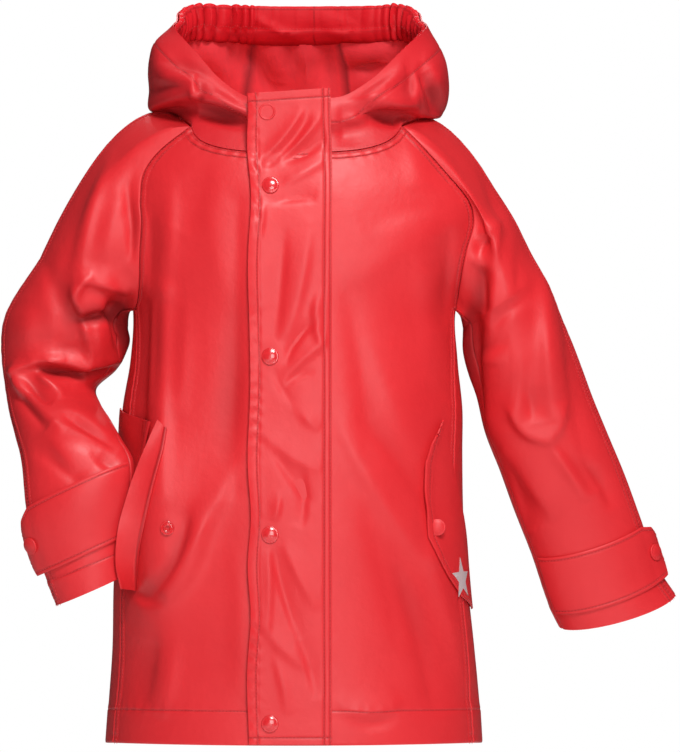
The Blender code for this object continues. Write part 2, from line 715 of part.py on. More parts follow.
def build_snap(name, centre, normal, radius=SNAP_RADIUS, bore=0.0):
    centre = np.asarray(centre) + unit(np.asarray(normal, float)) * SNAP_SEAT
    mesh = cap_mesh(name, centre, normal, radius, SNAP_HEIGHT, bore)
    finish(name, mesh, SHELL_RED, 0.2)


def build_flap_snaps():
    step = 4.0
    for number, (x, z) in enumerate(zip(SNAPS["x"], SNAPS["z"]), start=1):
        x_pair, z_pair = np.array([x - step, x + step, x, x]), np.array([z, z, z - step, z + step])
        near = flap_point(x_pair, z_pair)
        normal = unit(np.cross(near[1] - near[0], near[3] - near[2]))
        build_snap(f"snap_{number}", near.mean(axis=0), normal)


def build_mouth_edge():
    """Right pocket's turned front edge, from its stitch line out to where it stands free."""
    rows = np.linspace(0, 1, MOUTH_ROWS + 1)
    columns = {name: read(MOUTH, name, "share", rows) for name in MOUTH}
    stitched = on_front(columns["stitch_x"], columns["stitch_z"], CLOTH + MOUTH_GAP)
    free = np.stack([columns["edge_x"], columns["edge_y"], columns["edge_z"]], axis=-1)
    across = np.linspace(0, 1, MOUTH_COLUMNS + 1)[None, :, None]
    outer = stitched[:, None] * (1 - across) + free[:, None] * across
    outer = outer[::-1]
    normals = vertex_normals(outer)
    mesh = wall_mesh("pocket_edge_right", outer, outer - normals * CLOTH)
    finish("pocket_edge_right", mesh, SHELL_RED, SHELL_ROUGHNESS)


def side_flap(name, source, side, edges, heights, stands):
    """Pocket flap on the torso between two lines, given as angles round it."""
    places = np.arange(len(source[edges[0]]))
    rows = np.linspace(0, places[-1], SIDE_FLAP_ROWS + 1)
    column = {key: through(places, source[key], rows)[:, None] for key in source}
    across = np.linspace(0, 1, SIDE_FLAP_COLUMNS + 1)[None, :]
    angle = column[edges[0]] * (1 - across) + column[edges[1]] * across
    z = column[heights[0]] * (1 - across) + column[heights[1]] * across
    outer = torso_surface(side, angle, z, CLOTH + PANEL_GAP + stands(column, across))
    outer = outward(outer[::-1], side)
    normals = vertex_normals(outer)
    finish(name, wall_mesh(name, outer, outer - normals * CLOTH), SHELL_RED, SHELL_ROUGHNESS)


def build_pockets():
    build_mouth_edge()
    side_flap("pocket_flap_right", OPEN_FLAP, -1, ("front", "side"), ("z_front", "z_side"),
              lambda column, across: column["stand"] * (1 - across))
    side_flap("pocket_flap_left", CLOSED_FLAP, 1, ("free", "sewn"), ("z_free", "z_sewn"),
              lambda column, across: 0 * across)
    for name, x, z, lift, radius, bore in POCKET_SNAPS:
        centre = on_front(np.array(x), np.array(z), lift)
        normal = centre - on_front(np.array(x), np.array(z), lift - 1.0)
        build_snap(name, centre, normal, radius, bore)


def build_cuff_tabs():
    for side, word in ((-1, "right"), (1, "left")):
        places = arm_rings(side)[0]
        upper, lower = places[TAB_UPPER_ROW], places[TAB_LOWER_ROW]
        rows = np.linspace(0, len(TAB["turn"]) - 1, TAB_ROWS + 1)
        column = {key: through(np.arange(len(TAB["turn"])), TAB[key], rows) for key in TAB}
        grid = []
        for across in np.linspace(0, 1, TAB_COLUMNS + 1):
            line = []
            for place in range(len(rows)):
                part = column["upper"][place] * (1 - across) + column["lower"][place] * across
                share = upper + (lower - upper) * part
                point, normal = arm_ring(side, share, column["turn"][place:place + 1])
                line.append((point + normal * (column["stand"][place] + CLOTH))[0])
            grid.append(line)
        outer = outward(np.array(grid), side)[::-1]
        normals = vertex_normals(outer)
        name = f"cuff_tab_{word}"
        finish(name, wall_mesh(name, outer, outer - normals * CLOTH), SHELL_RED, SHELL_ROUGHNESS)
        near = outer[TAB_COLUMNS // 2, TAB_SNAP_PLACE if side < 0 else -1 - TAB_SNAP_PLACE]
        out = normals[TAB_COLUMNS // 2, TAB_SNAP_PLACE if side < 0 else -1 - TAB_SNAP_PLACE]
        build_snap(f"cuff_snap_{word}", near, out)


def main():
    clear_scene()
    grids = body_grids()
    build_panels(grids, shared_normals(grids), CLOTH, SHELL_RED, SHELL_ROUGHNESS)
    build_hood()
    build_storm_flap()
    build_flap_snaps()
    build_pockets()
    build_cuff_tabs()


main()
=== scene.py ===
"""Dressed model of a child's hooded raglan rain jacket, filled out as if worn.

Sizes are in millimetres unless a name says metres. The front faces -Y, the wearer's left
is +X and +Z is up, with the origin between the shoulders.
"""
import math

import bmesh
import bpy
import numpy as np
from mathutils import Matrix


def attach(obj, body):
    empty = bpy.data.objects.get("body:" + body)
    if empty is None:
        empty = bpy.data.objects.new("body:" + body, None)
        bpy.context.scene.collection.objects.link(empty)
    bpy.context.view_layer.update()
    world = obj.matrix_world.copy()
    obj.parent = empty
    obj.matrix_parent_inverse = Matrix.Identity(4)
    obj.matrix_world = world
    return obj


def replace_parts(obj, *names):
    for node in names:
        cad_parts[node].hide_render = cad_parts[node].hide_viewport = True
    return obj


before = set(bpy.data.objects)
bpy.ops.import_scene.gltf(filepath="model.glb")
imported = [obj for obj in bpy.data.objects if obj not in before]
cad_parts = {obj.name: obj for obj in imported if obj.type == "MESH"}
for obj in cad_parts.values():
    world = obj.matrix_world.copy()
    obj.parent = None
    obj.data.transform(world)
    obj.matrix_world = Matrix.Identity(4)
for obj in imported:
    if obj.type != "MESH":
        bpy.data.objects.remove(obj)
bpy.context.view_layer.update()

# --- Studio -----------------------------------------------------------------------------
# A pale round floor lies well below the jacket. Large soft boxes light it from in front,
# from above and from straight behind, and the camera looks level at its middle.
CAMERA_DISTANCE_M = 3.5
CAMERA_PLACE_M = (0.0405, -CAMERA_DISTANCE_M, -0.221)
PICTURE_PIXELS_TALL = 752
MM_PER_PIXEL = 0.9
SENSOR_MM = 36.0
LIT_PLACE_M = (0.0, 0.0, -0.25)         # where every soft box points
SOFT_BOXES = (                          # name, place and size in metres, watts
    ("key", (0.55, -2.6, 2.2), (1.1, 0.9), 96.0),
    ("fill", (0.4, -3.4, 0.3), (1.3, 1.3), 34.0),
    ("low_fill", (-0.3, -3.4, -0.7), (1.2, 1.2), 5.0),
    ("top", (0.1, 0.1, 2.3), (1.6, 1.1), 20.0),
    ("behind", (0.0, 2.9, 2.0), (1.4, 1.0), 22.0))
FLOOR_M = -0.95
FLOOR_RADIUS_M = 3.6
FLOOR_SIDES = 96
ROOM_LIGHT = 0.05           # what the room gives the jacket; the backdrop itself is white
WHITE = (1, 1, 1, 1)


def linked(name, data):
    """A new object in the scene."""
    made = bpy.data.objects.new(name, data)
    bpy.context.scene.collection.objects.link(made)
    return made


def mesh_of(name, points, faces, edges=()):
    """A new mesh from places in metres."""
    mesh = bpy.data.meshes.new(name)
    mesh.from_pydata(np.asarray(points).tolist(), edges, faces)
    return mesh


class Shade:
    """A socket in a node tree. Arithmetic on it adds Math nodes."""

    def __init__(self, tree, socket=None):
        self.tree, self.socket = tree, socket

    def node(self, kind, sockets, output=0, **settings):
        """A new node with its settings, then a number, colour or link for each named socket."""
        made = self.tree.nodes.new(kind)
        for name, value in settings.items():
            setattr(made, name, value)
        for name, value in sockets.items():
            if isinstance(value, Shade):
                self.tree.links.new(value.socket, made.inputs[name])
            else:
                made.inputs[name].default_value = value
        return Shade(self.tree, made.outputs[output] if made.outputs else None)

    def math(self, operation, first, second):
        return self.node("ShaderNodeMath", {0: first, 1: second}, operation=operation)

    def __add__(self, other):
        return self.math("ADD", self, other)

    def __sub__(self, other):
        return self.math("SUBTRACT", self, other)

    def __mul__(self, other):
        return self.math("MULTIPLY", self, other)

    def __pow__(self, other):
        return self.math("POWER", self, other)


def feed(shader, socket, value):
    value.tree.links.new(value.socket, shader.inputs[socket])


def new_material(name, fixed):
    """A material with fixed inputs: itself, its shader node and its Object coordinates."""
    material = bpy.data.materials.new(name)
    material.use_nodes = True
    tree = material.node_tree
    shader = tree.nodes["Principled BSDF"]
    for socket, value in fixed.items():
        shader.inputs[socket].default_value = value
    return material, shader, Shade(tree).node("ShaderNodeTexCoord", {}, output="Object")


camera_data = bpy.data.cameras.new("camera")
camera_data.sensor_width = SENSOR_MM
camera_data.lens = SENSOR_MM * CAMERA_DISTANCE_M * 1000 / (PICTURE_PIXELS_TALL * MM_PER_PIXEL)
camera = linked("camera", camera_data)
camera.location = CAMERA_PLACE_M
camera.rotation_euler = (math.radians(90), 0, 0)
bpy.context.scene.camera = camera
bpy.context.scene.view_settings.view_transform = "Standard"

for name, place, size, watts in SOFT_BOXES:
    light = bpy.data.lights.new(name, "AREA")
    light.shape = "RECTANGLE"
    light.size, light.size_y = size
    light.energy = watts
    lamp = linked(name, light)
    lamp.location = place
    x, y, z = np.array(place) - LIT_PLACE_M
    lamp.rotation_euler = (math.atan2(math.hypot(x, y), z), 0, math.atan2(x, -y))

world = bpy.data.worlds.new("room")
world.use_nodes = True
room = world.node_tree
room.nodes["Background"].inputs["Color"].default_value = WHITE
backdrop = Shade(room, room.nodes["Background"].outputs[0])
seen = backdrop.node("ShaderNodeLightPath", {}, output="Is Camera Ray")
faint = backdrop.node("ShaderNodeBackground", {"Color": WHITE, "Strength": ROOM_LIGHT})
either = backdrop.node("ShaderNodeMixShader", {0: seen, 1: faint, 2: backdrop})
feed(room.nodes["World Output"], "Surface", either)
bpy.context.scene.world = world

turns = np.linspace(0, 2 * math.pi, FLOOR_SIDES, endpoint=False)
floor_mesh = mesh_of("floor", [(FLOOR_RADIUS_M * math.cos(turn), FLOOR_RADIUS_M * math.sin(turn),
                                FLOOR_M) for turn in turns], [range(FLOOR_SIDES)])
floor_mesh.materials.append(new_material("floor_paint", {"Base Color": (0.92, 0.92, 0.92, 1),
                                                         "Roughness": 0.85})[0])
linked("floor", floor_mesh)

# --- Shell cloth ------------------------------------------------------------------------
# A knit with a smooth, slightly shiny coating, and what every panel of it shares: tables of
# sections, curves through them, soft folds, sewn edges and the closed wall itself.
MM = 0.001
CLOTH = 1.4
HEM_WIDTH = 31.0
HEM_STITCH = HEM_WIDTH - 1.2
HEM_RISE = 0.6
HEM_SOFT = 0.9
HEM_EDGE_DROP = 0.4
COARSE = 3.4                # spacing of a panel's points away from its seams
FINE = (0.0, 0.5, 1.0, 1.6, 2.3, 3.0, 4.0, 5.0, 5.7, 6.2, 6.7, 7.3, 8.0, 9.2, 11.0)
BESIDE_STITCHES = np.array([-1.6, -1.0, -0.5, 0.0, 0.5, 1.0, 1.8])
FOLD_COLUMNS = "x0 z0 x1 z1 bend width height start"
CREST_SHARE = 0.25          # how much of a fold's width its rounded crest takes
CREST_LEAST = 1.5
FOLD_POINTS = 9             # points that stand for a fold's bent line
FOLD_ENDS = 0.7             # power by which a fold fades to its ends, lower for blunter ones
FOLD_FLANK = 0.78           # share of a fold's width over which its flank falls to a third
FOLD_FALL = 1.25            # power of that fall, higher for a rounder shoulder
FOLD_LEAN = 0.45            # how much steeper a fold is on the side that it falls to
LEAN_RATE = 1.5             # how soon beside its crest a fold takes that lean
FOLD_SHALLOW = 2.5          # valleys deeper than this get painted shade, darkest from the next
FOLD_DEEP = 12.0
SEAM_DIP = 1.0              # how far the cloth rolls in at a seam
SEAM_ROLL = 0.8             # how wide that roll is
RIDGE_RISE = 0.9            # a pressed ridge's height, its distance from the seam and its width
RIDGE_FROM_SEAM = 1.8
RIDGE_WIDTH = 1.2
FELL_WIDTH = 6.6            # felled allowance, from the seam to its second row of stitches
FELL_RISE = 0.8
FELL_GROOVE = 0.9           # depth and width of the groove of its second row of stitches
FELL_GROOVE_WIDTH = 0.7
EDGE_STITCH = 1.7
EDGE_GROOVE = 0.45
EDGE_GROOVE_WIDTH = 0.5
PUCKER = 0.32
PUCKER_PITCH = 11.0
PUCKER_DRIFTS = ((1.9, 29.0), (0.8, 11.3))
PUCKER_SWELL = (0.55, 0.45, 41.0)       # their mean strength, its swing and how slowly it swings
PUCKER_FROM_SEAM = 4.0
PUCKER_REACH = 4.5
EDGES = {"first row": (0, 0), "last row": (0, -1), "first column": (1, 0), "last column": (1, -1)}
SEAM_SHADE_WIDTH = 0.6
SHARP_FROM = math.radians(60)           # edges sharper than this are drawn as corners


def table(columns, rows):
    """Named columns of numbers, one row of the text for each section or fold."""
    values = np.array([row.split() for row in rows.strip().splitlines()], float)
    return dict(zip(columns.split(), values.T))


def between(first, last, share):
    return first * (1 - share) + last * share


def bridge(first, last, leave, arrive, share):
    """Cubic from one value to another with its slopes at both."""
    return (between(first, last, share * share * (3 - 2 * share))
            + leave * share * (1 - share) ** 2 - arrive * share ** 2 * (1 - share))


def through(places, values, at):
    """Cubic curve through values given at rising places."""
    places, values, at = (np.asarray(item, float) for item in (places, values, at))
    slopes = np.gradient(values, places, axis=0)
    cell = np.clip(np.searchsorted(places, at, side="right") - 1, 0, len(places) - 2)
    span = places[cell + 1] - places[cell]
    share = np.clip((at - places[cell]) / span, 0, 1)
    extra = (..., *[None] * (values.ndim - 1))
    share, span = share[extra], span[extra]
    return bridge(values[cell], values[cell + 1], slopes[cell] * span, slopes[cell + 1] * span,
                  share)


def read(source, column, at):
    """A column's value between its rows, which the table's first column places."""
    return through(next(iter(source.values())), source[column], at)


def unit(vectors):
    return vectors / np.maximum(np.linalg.norm(vectors, axis=-1, keepdims=True), 1e-9)


def hump(gap, width):
    """1 where the gap is 0, falling off on both sides."""
    return np.exp(-(gap / width) ** 2)


def ease(value):
    """Smooth step from 0 to 1."""
    value = np.clip(value, 0, 1)
    return value * value * (3 - 2 * value)


def fading(distance, reach, soft):
    """1 up to a distance and 0 beyond it, with a soft step."""
    return 0.5 - 0.5 * np.tanh((distance - reach) / (2 * soft))


def length_along(line):
    """Each point's distance from the first along a line."""
    return np.append(0, np.cumsum(np.linalg.norm(np.diff(line, axis=0), axis=1)))


def resampled(line, along, places):
    """Points of a line at places along it."""
    return np.stack([np.interp(places, along, line[:, axis]) for axis in range(3)], -1)


def relief(folds, places):
    """Height of soft folds along bent lines, over places as seen from the front."""
    x, z = places[..., 0], places[..., 2]
    height = np.zeros(x.shape)
    for x0, z0, x1, z1, bend, half_width, tall, begin in zip(*folds.values()):
        start, end = np.array([x0, z0]), np.array([x1, z1])
        along = end - start
        square = np.array([-along[1], along[0]])
        middle = (start + end) / 2 + bend * square
        steps = np.linspace(0, 1, FOLD_POINTS)[:, None]
        line = start * (1 - steps) ** 2 + 2 * middle * steps * (1 - steps) + end * steps ** 2
        low, high = line.min(axis=0) - 3 * half_width, line.max(axis=0) + 3 * half_width
        near = (x > low[0]) & (x < high[0]) & (z > low[1]) & (z < high[1])
        px, pz = x[near], z[near]
        best, place, side = np.full(px.shape, np.inf), np.zeros(px.shape), np.zeros(px.shape)
        falling = square * (-1 if square[1] > 0 else 1) / np.hypot(*square)
        for index, (a, b) in enumerate(zip(line[:-1], line[1:])):
            reach = b - a
            share = ((px - a[0]) * reach[0] + (pz - a[1]) * reach[1]) / (reach @ reach)
            share = np.clip(share, 0, 1)
            away_x, away_z = px - a[0] - reach[0] * share, pz - a[1] - reach[1] * share
            gap = np.hypot(away_x, away_z)
            nearer = gap < best
            place = np.where(nearer, (index + share) / (len(line) - 1), place)
            side = np.where(nearer, away_x * falling[0] + away_z * falling[1], side)
            best = np.minimum(best, gap)
        width = half_width * (1 - FOLD_LEAN * np.tanh(LEAN_RATE * side / half_width))
        fade = np.sin(math.pi * (begin + (1 - begin) * place)) ** FOLD_ENDS
        crest = np.maximum(CREST_SHARE * width, CREST_LEAST)
        fall = (np.hypot(best, crest) - crest) / (FOLD_FLANK * width)
        height[near] += tall * fade * np.exp(-fall ** FOLD_FALL)
    return height


def deep_folds(folds, places, strength):
    """Share from 0 to 1 of how deep each place lies in the folds' valleys, for the shade painted
    there.
    """
    valleys = {name: column[folds["height"] < 0] for name, column in folds.items()}
    depth = -strength * relief(valleys, places)
    return np.clip((depth - FOLD_SHALLOW) / (FOLD_DEEP - FOLD_SHALLOW), 0, 1)


def spread(length, fine_start=False, fine_end=False, coarse=COARSE):
    """Shares of a length, close together near the ends that carry a seam."""
    first = np.array(FINE if fine_start else (0.0,))
    last = length - np.array((FINE if fine_end else (0.0,))[::-1])
    count = max(int((last[0] - first[-1]) / coarse), 2)
    middle = np.linspace(first[-1], last[0], count + 1)[1:-1]
    return np.concatenate([first, middle, last]) / length


def outward(grid, side):
    """Columns ordered so that the cloth's normals point out of the jacket."""
    return grid if side > 0 else grid[:, ::-1]


def grid_normals(grid):
    return unit(np.cross(np.gradient(grid, axis=1), np.gradient(grid, axis=0)))


def raised(grid, height):
    """The grid moved out by a height at each point, and its new normals."""
    grid = grid + grid_normals(grid) * height[..., None]
    return grid, grid_normals(grid)


def edge_distance(grid, edge):
    """Distance of each point from one edge of its grid, measured along the cloth."""
    axis, end = EDGES[edge]
    steps = np.linalg.norm(np.diff(grid, axis=axis), axis=-1)
    start = np.zeros_like(grid[:1, :, 0] if axis == 0 else grid[:, :1, 0])
    if end == 0:
        return np.concatenate([start, np.cumsum(steps, axis=axis)], axis=axis)
    from_end = np.cumsum(np.flip(steps, axis=axis), axis=axis)
    return np.flip(np.concatenate([start, from_end], axis=axis), axis=axis)


def seam_height(distance, finish):
    """Relief beside an edge: a rolled seam, a felled one, a turned hem or a pressed ridge."""
    roll = -SEAM_DIP * hump(distance, SEAM_ROLL)
    if finish == "ridge":
        return RIDGE_RISE * hump(distance - RIDGE_FROM_SEAM, RIDGE_WIDTH) + roll
    if finish == "hem":
        turned_in = fading(distance, HEM_WIDTH, HEM_SOFT) - hump(distance - HEM_STITCH, 1.0)
        return HEM_RISE * turned_in - HEM_EDGE_DROP * hump(distance, 1.0)
    if finish == "fell":
        grooves = (FELL_GROOVE * hump(distance - FELL_WIDTH, FELL_GROOVE_WIDTH)
                   + EDGE_GROOVE * hump(distance - EDGE_STITCH, EDGE_GROOVE_WIDTH))
        return FELL_RISE * fading(distance, FELL_WIDTH + 0.6, 0.3) - grooves + roll
    return roll


def drifting(phase, along, drifts):
    """A wave whose phase drifts by slower waves, given by their sizes and lengths."""
    for size, length in drifts:
        phase = phase + size * np.sin(along / length)
    return np.sin(phase)


def puckers(grid, edge, centre):
    """Small uneven ripples across a seam, from the pull of its stitches."""
    axis, end = EDGES[edge]
    along = length_along(grid[end] if axis == 0 else grid[:, end])
    mean, swing, length = PUCKER_SWELL
    wave = (drifting(2 * math.pi * along / PUCKER_PITCH, along, PUCKER_DRIFTS)
            * (mean + swing * np.sin(along / length + 1.0)))
    wave = wave[None, :] if axis == 0 else wave[:, None]
    return wave * hump(edge_distance(grid, edge) - centre, PUCKER_REACH)


def sewn(grid, finishes, pucker=PUCKER):
    """The grid with the relief of its sewn edges, and its normals."""
    height = np.zeros(grid.shape[:2])
    for edge, finish in finishes.items():
        height = height + seam_height(edge_distance(grid, edge), finish)
        centre = HEM_WIDTH if finish == "hem" else PUCKER_FROM_SEAM
        height = height + pucker * puckers(grid, edge, centre)
    return raised(grid, height)


def wall(name, outer, inner, seam_tone_and_shade, painted_fold_shade=0.0):
    """Closed wall of cloth between two grids of points, as a mesh in metres.

    The first mark is 1 along seams and rows of stitches, which are painted darker, partly for the
    thread and needle holes and partly as painted shade of their grooves; the second is 1 in the
    tightest folds, where shade is painted into the colour.
    """
    rows, columns = outer.shape[:2]
    count = rows * columns
    place = np.arange(count).reshape(rows, columns)
    a, b, c, d = (item.ravel() for item in (place[:-1, :-1], place[:-1, 1:], place[1:, 1:],
                                            place[1:, :-1]))
    rim = np.concatenate([place[0, :-1], place[:-1, -1], place[-1, :0:-1], place[:0:-1, 0]])
    ahead = np.roll(rim, -1)
    faces = np.concatenate([np.stack([a, b, c, d], 1), np.stack([a, d, c, b], 1) + count,
                            np.stack([rim, rim + count, ahead + count, ahead], 1)])
    points = np.concatenate([outer.reshape(-1, 3), inner.reshape(-1, 3)])
    mesh = mesh_of(name, points * MM, faces.tolist())
    for mark, values in (("seam_tone_and_shade", seam_tone_and_shade), ("painted_fold_shade", painted_fold_shade)):
        values = np.tile(np.broadcast_to(values, (rows, columns)).ravel(), 2).astype(np.float32)
        mesh.attributes.new(mark, "FLOAT", "POINT").data.foreach_set("value", values)
    mesh.shade_smooth()
    mesh.set_sharp_from_angle(angle=SHARP_FROM)
    return mesh


def ridden(name, mesh):
    """A finished mesh as a piece of the jacket, parented to its root."""
    piece = linked(name, mesh)
    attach(piece, "root")
    return piece


def add_piece(mesh, material, node):
    """The piece that stands for its CAD node."""
    mesh.materials.append(material)
    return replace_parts(ridden("shown_" + node, mesh), node)


def seam_shade_marks(grid, *rows):
    """1 on lines at given distances from edges of a grid, falling off beside them: where seams and
    stitch rows are painted darker, partly for thread and needle holes and partly as painted shade
    of their grooves.
    """
    marks = np.zeros(grid.shape[:2])
    for edge, distance in rows:
        marks = np.maximum(marks, hump(edge_distance(grid, edge) - distance,
                                       SEAM_SHADE_WIDTH))
    return marks


def noise(place, scale, detail=2.0, roughness=0.5):
    """Grey noise with a number of waves for each metre."""
    return place.node("ShaderNodeTexNoise", {"Vector": place, "Scale": scale, "Detail": detail,
                                             "Roughness": roughness})


def mark(place, name):
    """One of a wall's two marks of painted shade, by its name."""
    return place.node("ShaderNodeAttribute", {}, output="Fac", attribute_name=name)


def mix(share, first, second):
    """Mix of two colours or colour links; a Mix node's colour sockets are its sixth and on."""
    first, second = (item if isinstance(item, Shade) else (*item, 1) for item in (first, second))
    return share.node("ShaderNodeMix", {0: share, 6: first, 7: second}, output=2,
                      data_type="RGBA")


# Painted shade: how dark seams and stitch rows are painted, for their grooves and thread, and how
# dark fold valleys are painted, with how strongly each mixes in.
SEAM_SHADE_TONE = 0.45
SEAM_SHADE_SHARE = 0.75
FOLD_SHADE_TONE = 0.3
FOLD_SHADE_SHARE = 0.74
FOLD_ROUGHENS = 0.3
GLOSS_SPREAD = 0.16         # how far the cloth's roughness differs from place to place
GRAIN_RISE_M = 0.000012
CREASE_RISE_M = 0.00042
COAT_SHARE = 0.125          # clear coat for each part of gloss


def coated_cloth(name, light, deep, roughness, creasing, gloss=0.36):
    """Smooth coated cloth: a fine film grain, faint handling creases and uneven gloss, with shade
    painted into its colour in the folds' valleys and along its seams.
    """
    material, shader, place = new_material(name, {"Specular IOR Level": gloss,
                                                  "Coat Roughness": 0.25})
    seam_and_groove_shade, folded = mark(place, "seam_tone_and_shade"), mark(place, "painted_fold_shade")
    plain = mix(noise(place, 16.0, 3.0) * 1.5 - 0.25, deep, light)
    # Painted shade: the colour deepens in the folds' valleys and on the seams' lines.
    shaded_in_folds = mix(folded * FOLD_SHADE_SHARE, plain, [FOLD_SHADE_TONE * part for part in deep])
    shaded = [SEAM_SHADE_TONE * part for part in deep]
    feed(shader, "Base Color", mix(seam_and_groove_shade * SEAM_SHADE_SHARE, shaded_in_folds, shaded))
    uneven = noise(place, 60.0, 4.0, 0.6) * GLOSS_SPREAD
    feed(shader, "Roughness", uneven + folded * FOLD_ROUGHENS + (roughness - GLOSS_SPREAD / 2))
    grain = noise(place, 1400.0) * GRAIN_RISE_M
    creases = noise(place, 95.0, 5.0, 0.62) ** 2.0 * (CREASE_RISE_M * creasing)
    feed(shader, "Normal", place.node("ShaderNodeBump", {"Height": grain + creases,
                                                         "Distance": 1.0, "Strength": 0.85}))
    feed(shader, "Coat Weight", (folded * -1.0 + 1.0) * (COAT_SHARE * gloss))
    return material


def mottled(name, first, second, grains, rough, rough_spread, fixed):
    """A plain finish whose colour and roughness vary a little, with their two grains."""
    material, shader, place = new_material(name, fixed)
    feed(shader, "Base Color", mix(noise(place, grains[0]), first, second))
    feed(shader, "Roughness", noise(place, *grains[1:]) * rough_spread + rough)
    return material


shell_cloth = coated_cloth("shell_cloth", light=(0.73, 0.026, 0.032), deep=(0.66, 0.018, 0.024),
                           roughness=0.44, creasing=1.0)

# --- Stitches ---------------------------------------------------------------------------
# Red thread in rows along the seams. Each stitch is a short rounded bar let into the cloth,
# one every three millimetres, and each section's rows are one piece.
STITCH_PITCH = 3.1
STITCH_LENGTH = 2.3
THREAD_WIDTH = 0.62
STITCH_SIDES = 5
STITCH_RINGS = 3
stitch_lines = []           # (points, normals) of every row of stitches, gathered as it goes
thread = mottled("thread", (0.55, 0.016, 0.022), (0.72, 0.030, 0.036), grains=(900.0, 2000.0),
                 rough=0.45, rough_spread=0.2, fixed={"Sheen Weight": 0.2})

stitch_tree = bpy.data.node_groups.new("rows_of_stitches", "GeometryNodeTree")
for socket_name, way in (("Lines", "INPUT"), ("Stitches", "OUTPUT")):
    stitch_tree.interface.new_socket(name=socket_name, in_out=way,
                                     socket_type="NodeSocketGeometry")
stitch_sizes = {}           # each size in metres by the identifier of its input
for size_name, size in (("Pitch", STITCH_PITCH), ("Length", STITCH_LENGTH),
                        ("Width", THREAD_WIDTH)):
    made = stitch_tree.interface.new_socket(name=size_name, in_out="INPUT",
                                            socket_type="NodeSocketFloat")
    stitch_sizes[made.identifier] = size * MM
knot = Shade(stitch_tree)
lines, pitch, length, width = (knot.node("NodeGroupInput", {}, output=name)
                               for name in ("Lines", "Pitch", "Length", "Width"))
curves = knot.node("GeometryNodeMeshToCurve", {"Mesh": lines})
spaced = knot.node("GeometryNodeResampleCurve", {"Curve": curves, "Length": pitch}, mode="LENGTH")
ball = knot.node("GeometryNodeMeshUVSphere", {"Segments": STITCH_SIDES, "Rings": STITCH_RINGS,
                                              "Radius": 0.5})
size = knot.node("ShaderNodeCombineXYZ", {"X": length, "Y": width, "Z": width})
bar = knot.node("GeometryNodeTransform", {"Geometry": ball, "Scale": size})
out_of_cloth = knot.node("GeometryNodeInputNamedAttribute", {"Name": "out_of_cloth"},
                         output="Attribute", data_type="FLOAT_VECTOR")
laid = knot.node("FunctionNodeAlignRotationToVector",
                 {"Vector": knot.node("GeometryNodeInputTangent", {})}, axis="X")
turned_up = knot.node("FunctionNodeAlignRotationToVector",
                      {"Rotation": laid, "Vector": out_of_cloth}, axis="Z", pivot_axis="X")
placed = knot.node("GeometryNodeInstanceOnPoints", {"Points": spaced, "Instance": bar,
                                                    "Rotation": turned_up})
real = knot.node("GeometryNodeRealizeInstances", {"Geometry": placed})
smooth = knot.node("GeometryNodeSetShadeSmooth", {"Geometry": real})
threaded = knot.node("GeometryNodeSetMaterial", {"Geometry": smooth, "Material": thread})
knot.node("NodeGroupOutput", {0: threaded})


def along_edge(grid, normals, edge, distance, part=(0.0, 1.0)):
    """Gathers a row of stitches across the cloth at a distance from one edge."""
    gap = edge_distance(grid, edge)
    if EDGES[edge][0] == 0:
        grid, normals, gap = grid.transpose(1, 0, 2), normals.transpose(1, 0, 2), gap.T
    low, high = int(part[0] * (len(grid) - 1)), int(part[1] * (len(grid) - 1)) + 1
    line, up = [], []
    for points, out, reach in zip(grid[low:high], normals[low:high], gap[low:high]):
        order = np.argsort(reach)
        if reach[order[-1]] >= distance:
            line.append(resampled(points[order], reach[order], distance))
            up.append(resampled(out[order], reach[order], distance))
    stitch_lines.append((np.array(line), unit(np.array(up))))


def sew(name):
    """Runs stitches along the gathered rows and empties the list; they become one piece of that
    name.
    """
    points, out = (np.vstack(item) for item in zip(*stitch_lines))
    ends = np.cumsum([len(line) for line, _ in stitch_lines])[:-1]
    edges = [(place, place + 1) for place in range(len(points) - 1) if place + 1 not in ends]
    stitch_lines.clear()
    mesh = mesh_of(name, points * MM, [], edges)
    mesh.attributes.new("out_of_cloth", "FLOAT_VECTOR", "POINT").data.foreach_set(
        "vector", out.astype(np.float32).ravel())
    rows = linked(name + "_rows", mesh)
    stitches = rows.modifiers.new("stitches", "NODES")
    stitches.node_group = stitch_tree
    for socket, size in stitch_sizes.items():
        stitches[socket] = size
    seen = rows.evaluated_get(bpy.context.evaluated_depsgraph_get())
    plain = bpy.data.meshes.new_from_object(seen)
    rows.modifiers.clear()
    bpy.data.objects.remove(rows)
    plain.name = name
    ridden(name, plain)


def add_panel(node, grid, normals, cut, held, rows, marked, painted_shade=0.0, material=shell_cloth,
              rests_on=()):
    """A panel's wall in place of its solid, with its rows of stitches.

    cut, its flat width and length in metres and its area where it isn't a rectangle, is not used.
    rows are the stitches and marked the darker lines, both as edges and distances from them.
    """
    # Painted shade: the marked lines darken partly for their thread and partly as shade in their
    # grooves, and the folds' valleys darken by the share given.
    marks = seam_shade_marks(grid, *marked)
    piece = add_piece(wall(node, grid, grid - normals * CLOTH, marks, painted_shade), material, node)
    for edge, distance in rows:
        along_edge(grid, normals, edge, distance)

# --- Fronts and back --------------------------------------------------------------------
# Two fronts and a one-piece back. The hem is turned up and sewn once, and the raglan seams
# are felled and sewn twice.
SQUARENESS = 2.4
FRONT_NECK_Z = -25.0
BACK_NECK_Z = 27.0
FRONT_HEM_Z = -542.0
SIDE_HEM_Z = -546.0
BACK_HEM_Z = -560.0
ARMPIT_Z = -162.0
SIDE_LENGTH = 384.0
RAGLAN_LENGTH = 190.0
FRONT_LENGTH_ACROSS = 230.0
BACK_LENGTH_ACROSS = 290.0
FOLD_STRENGTH = 1.35
FRONT_CUT_M = (0.262, 0.566, 0.091)     # width, length and area, here and below
BACK_CUT_M = (0.60, 0.61, 0.266)
# How far the right front stands out over the tucked cuff, by angle and height.
SWELL_HEIGHT = 18.0
SWELL_ANGLE, SWELL_ANGLE_SPREAD = 43.0, 13.0
SWELL_Z, SWELL_Z_SPREAD = -345.0, 80.0
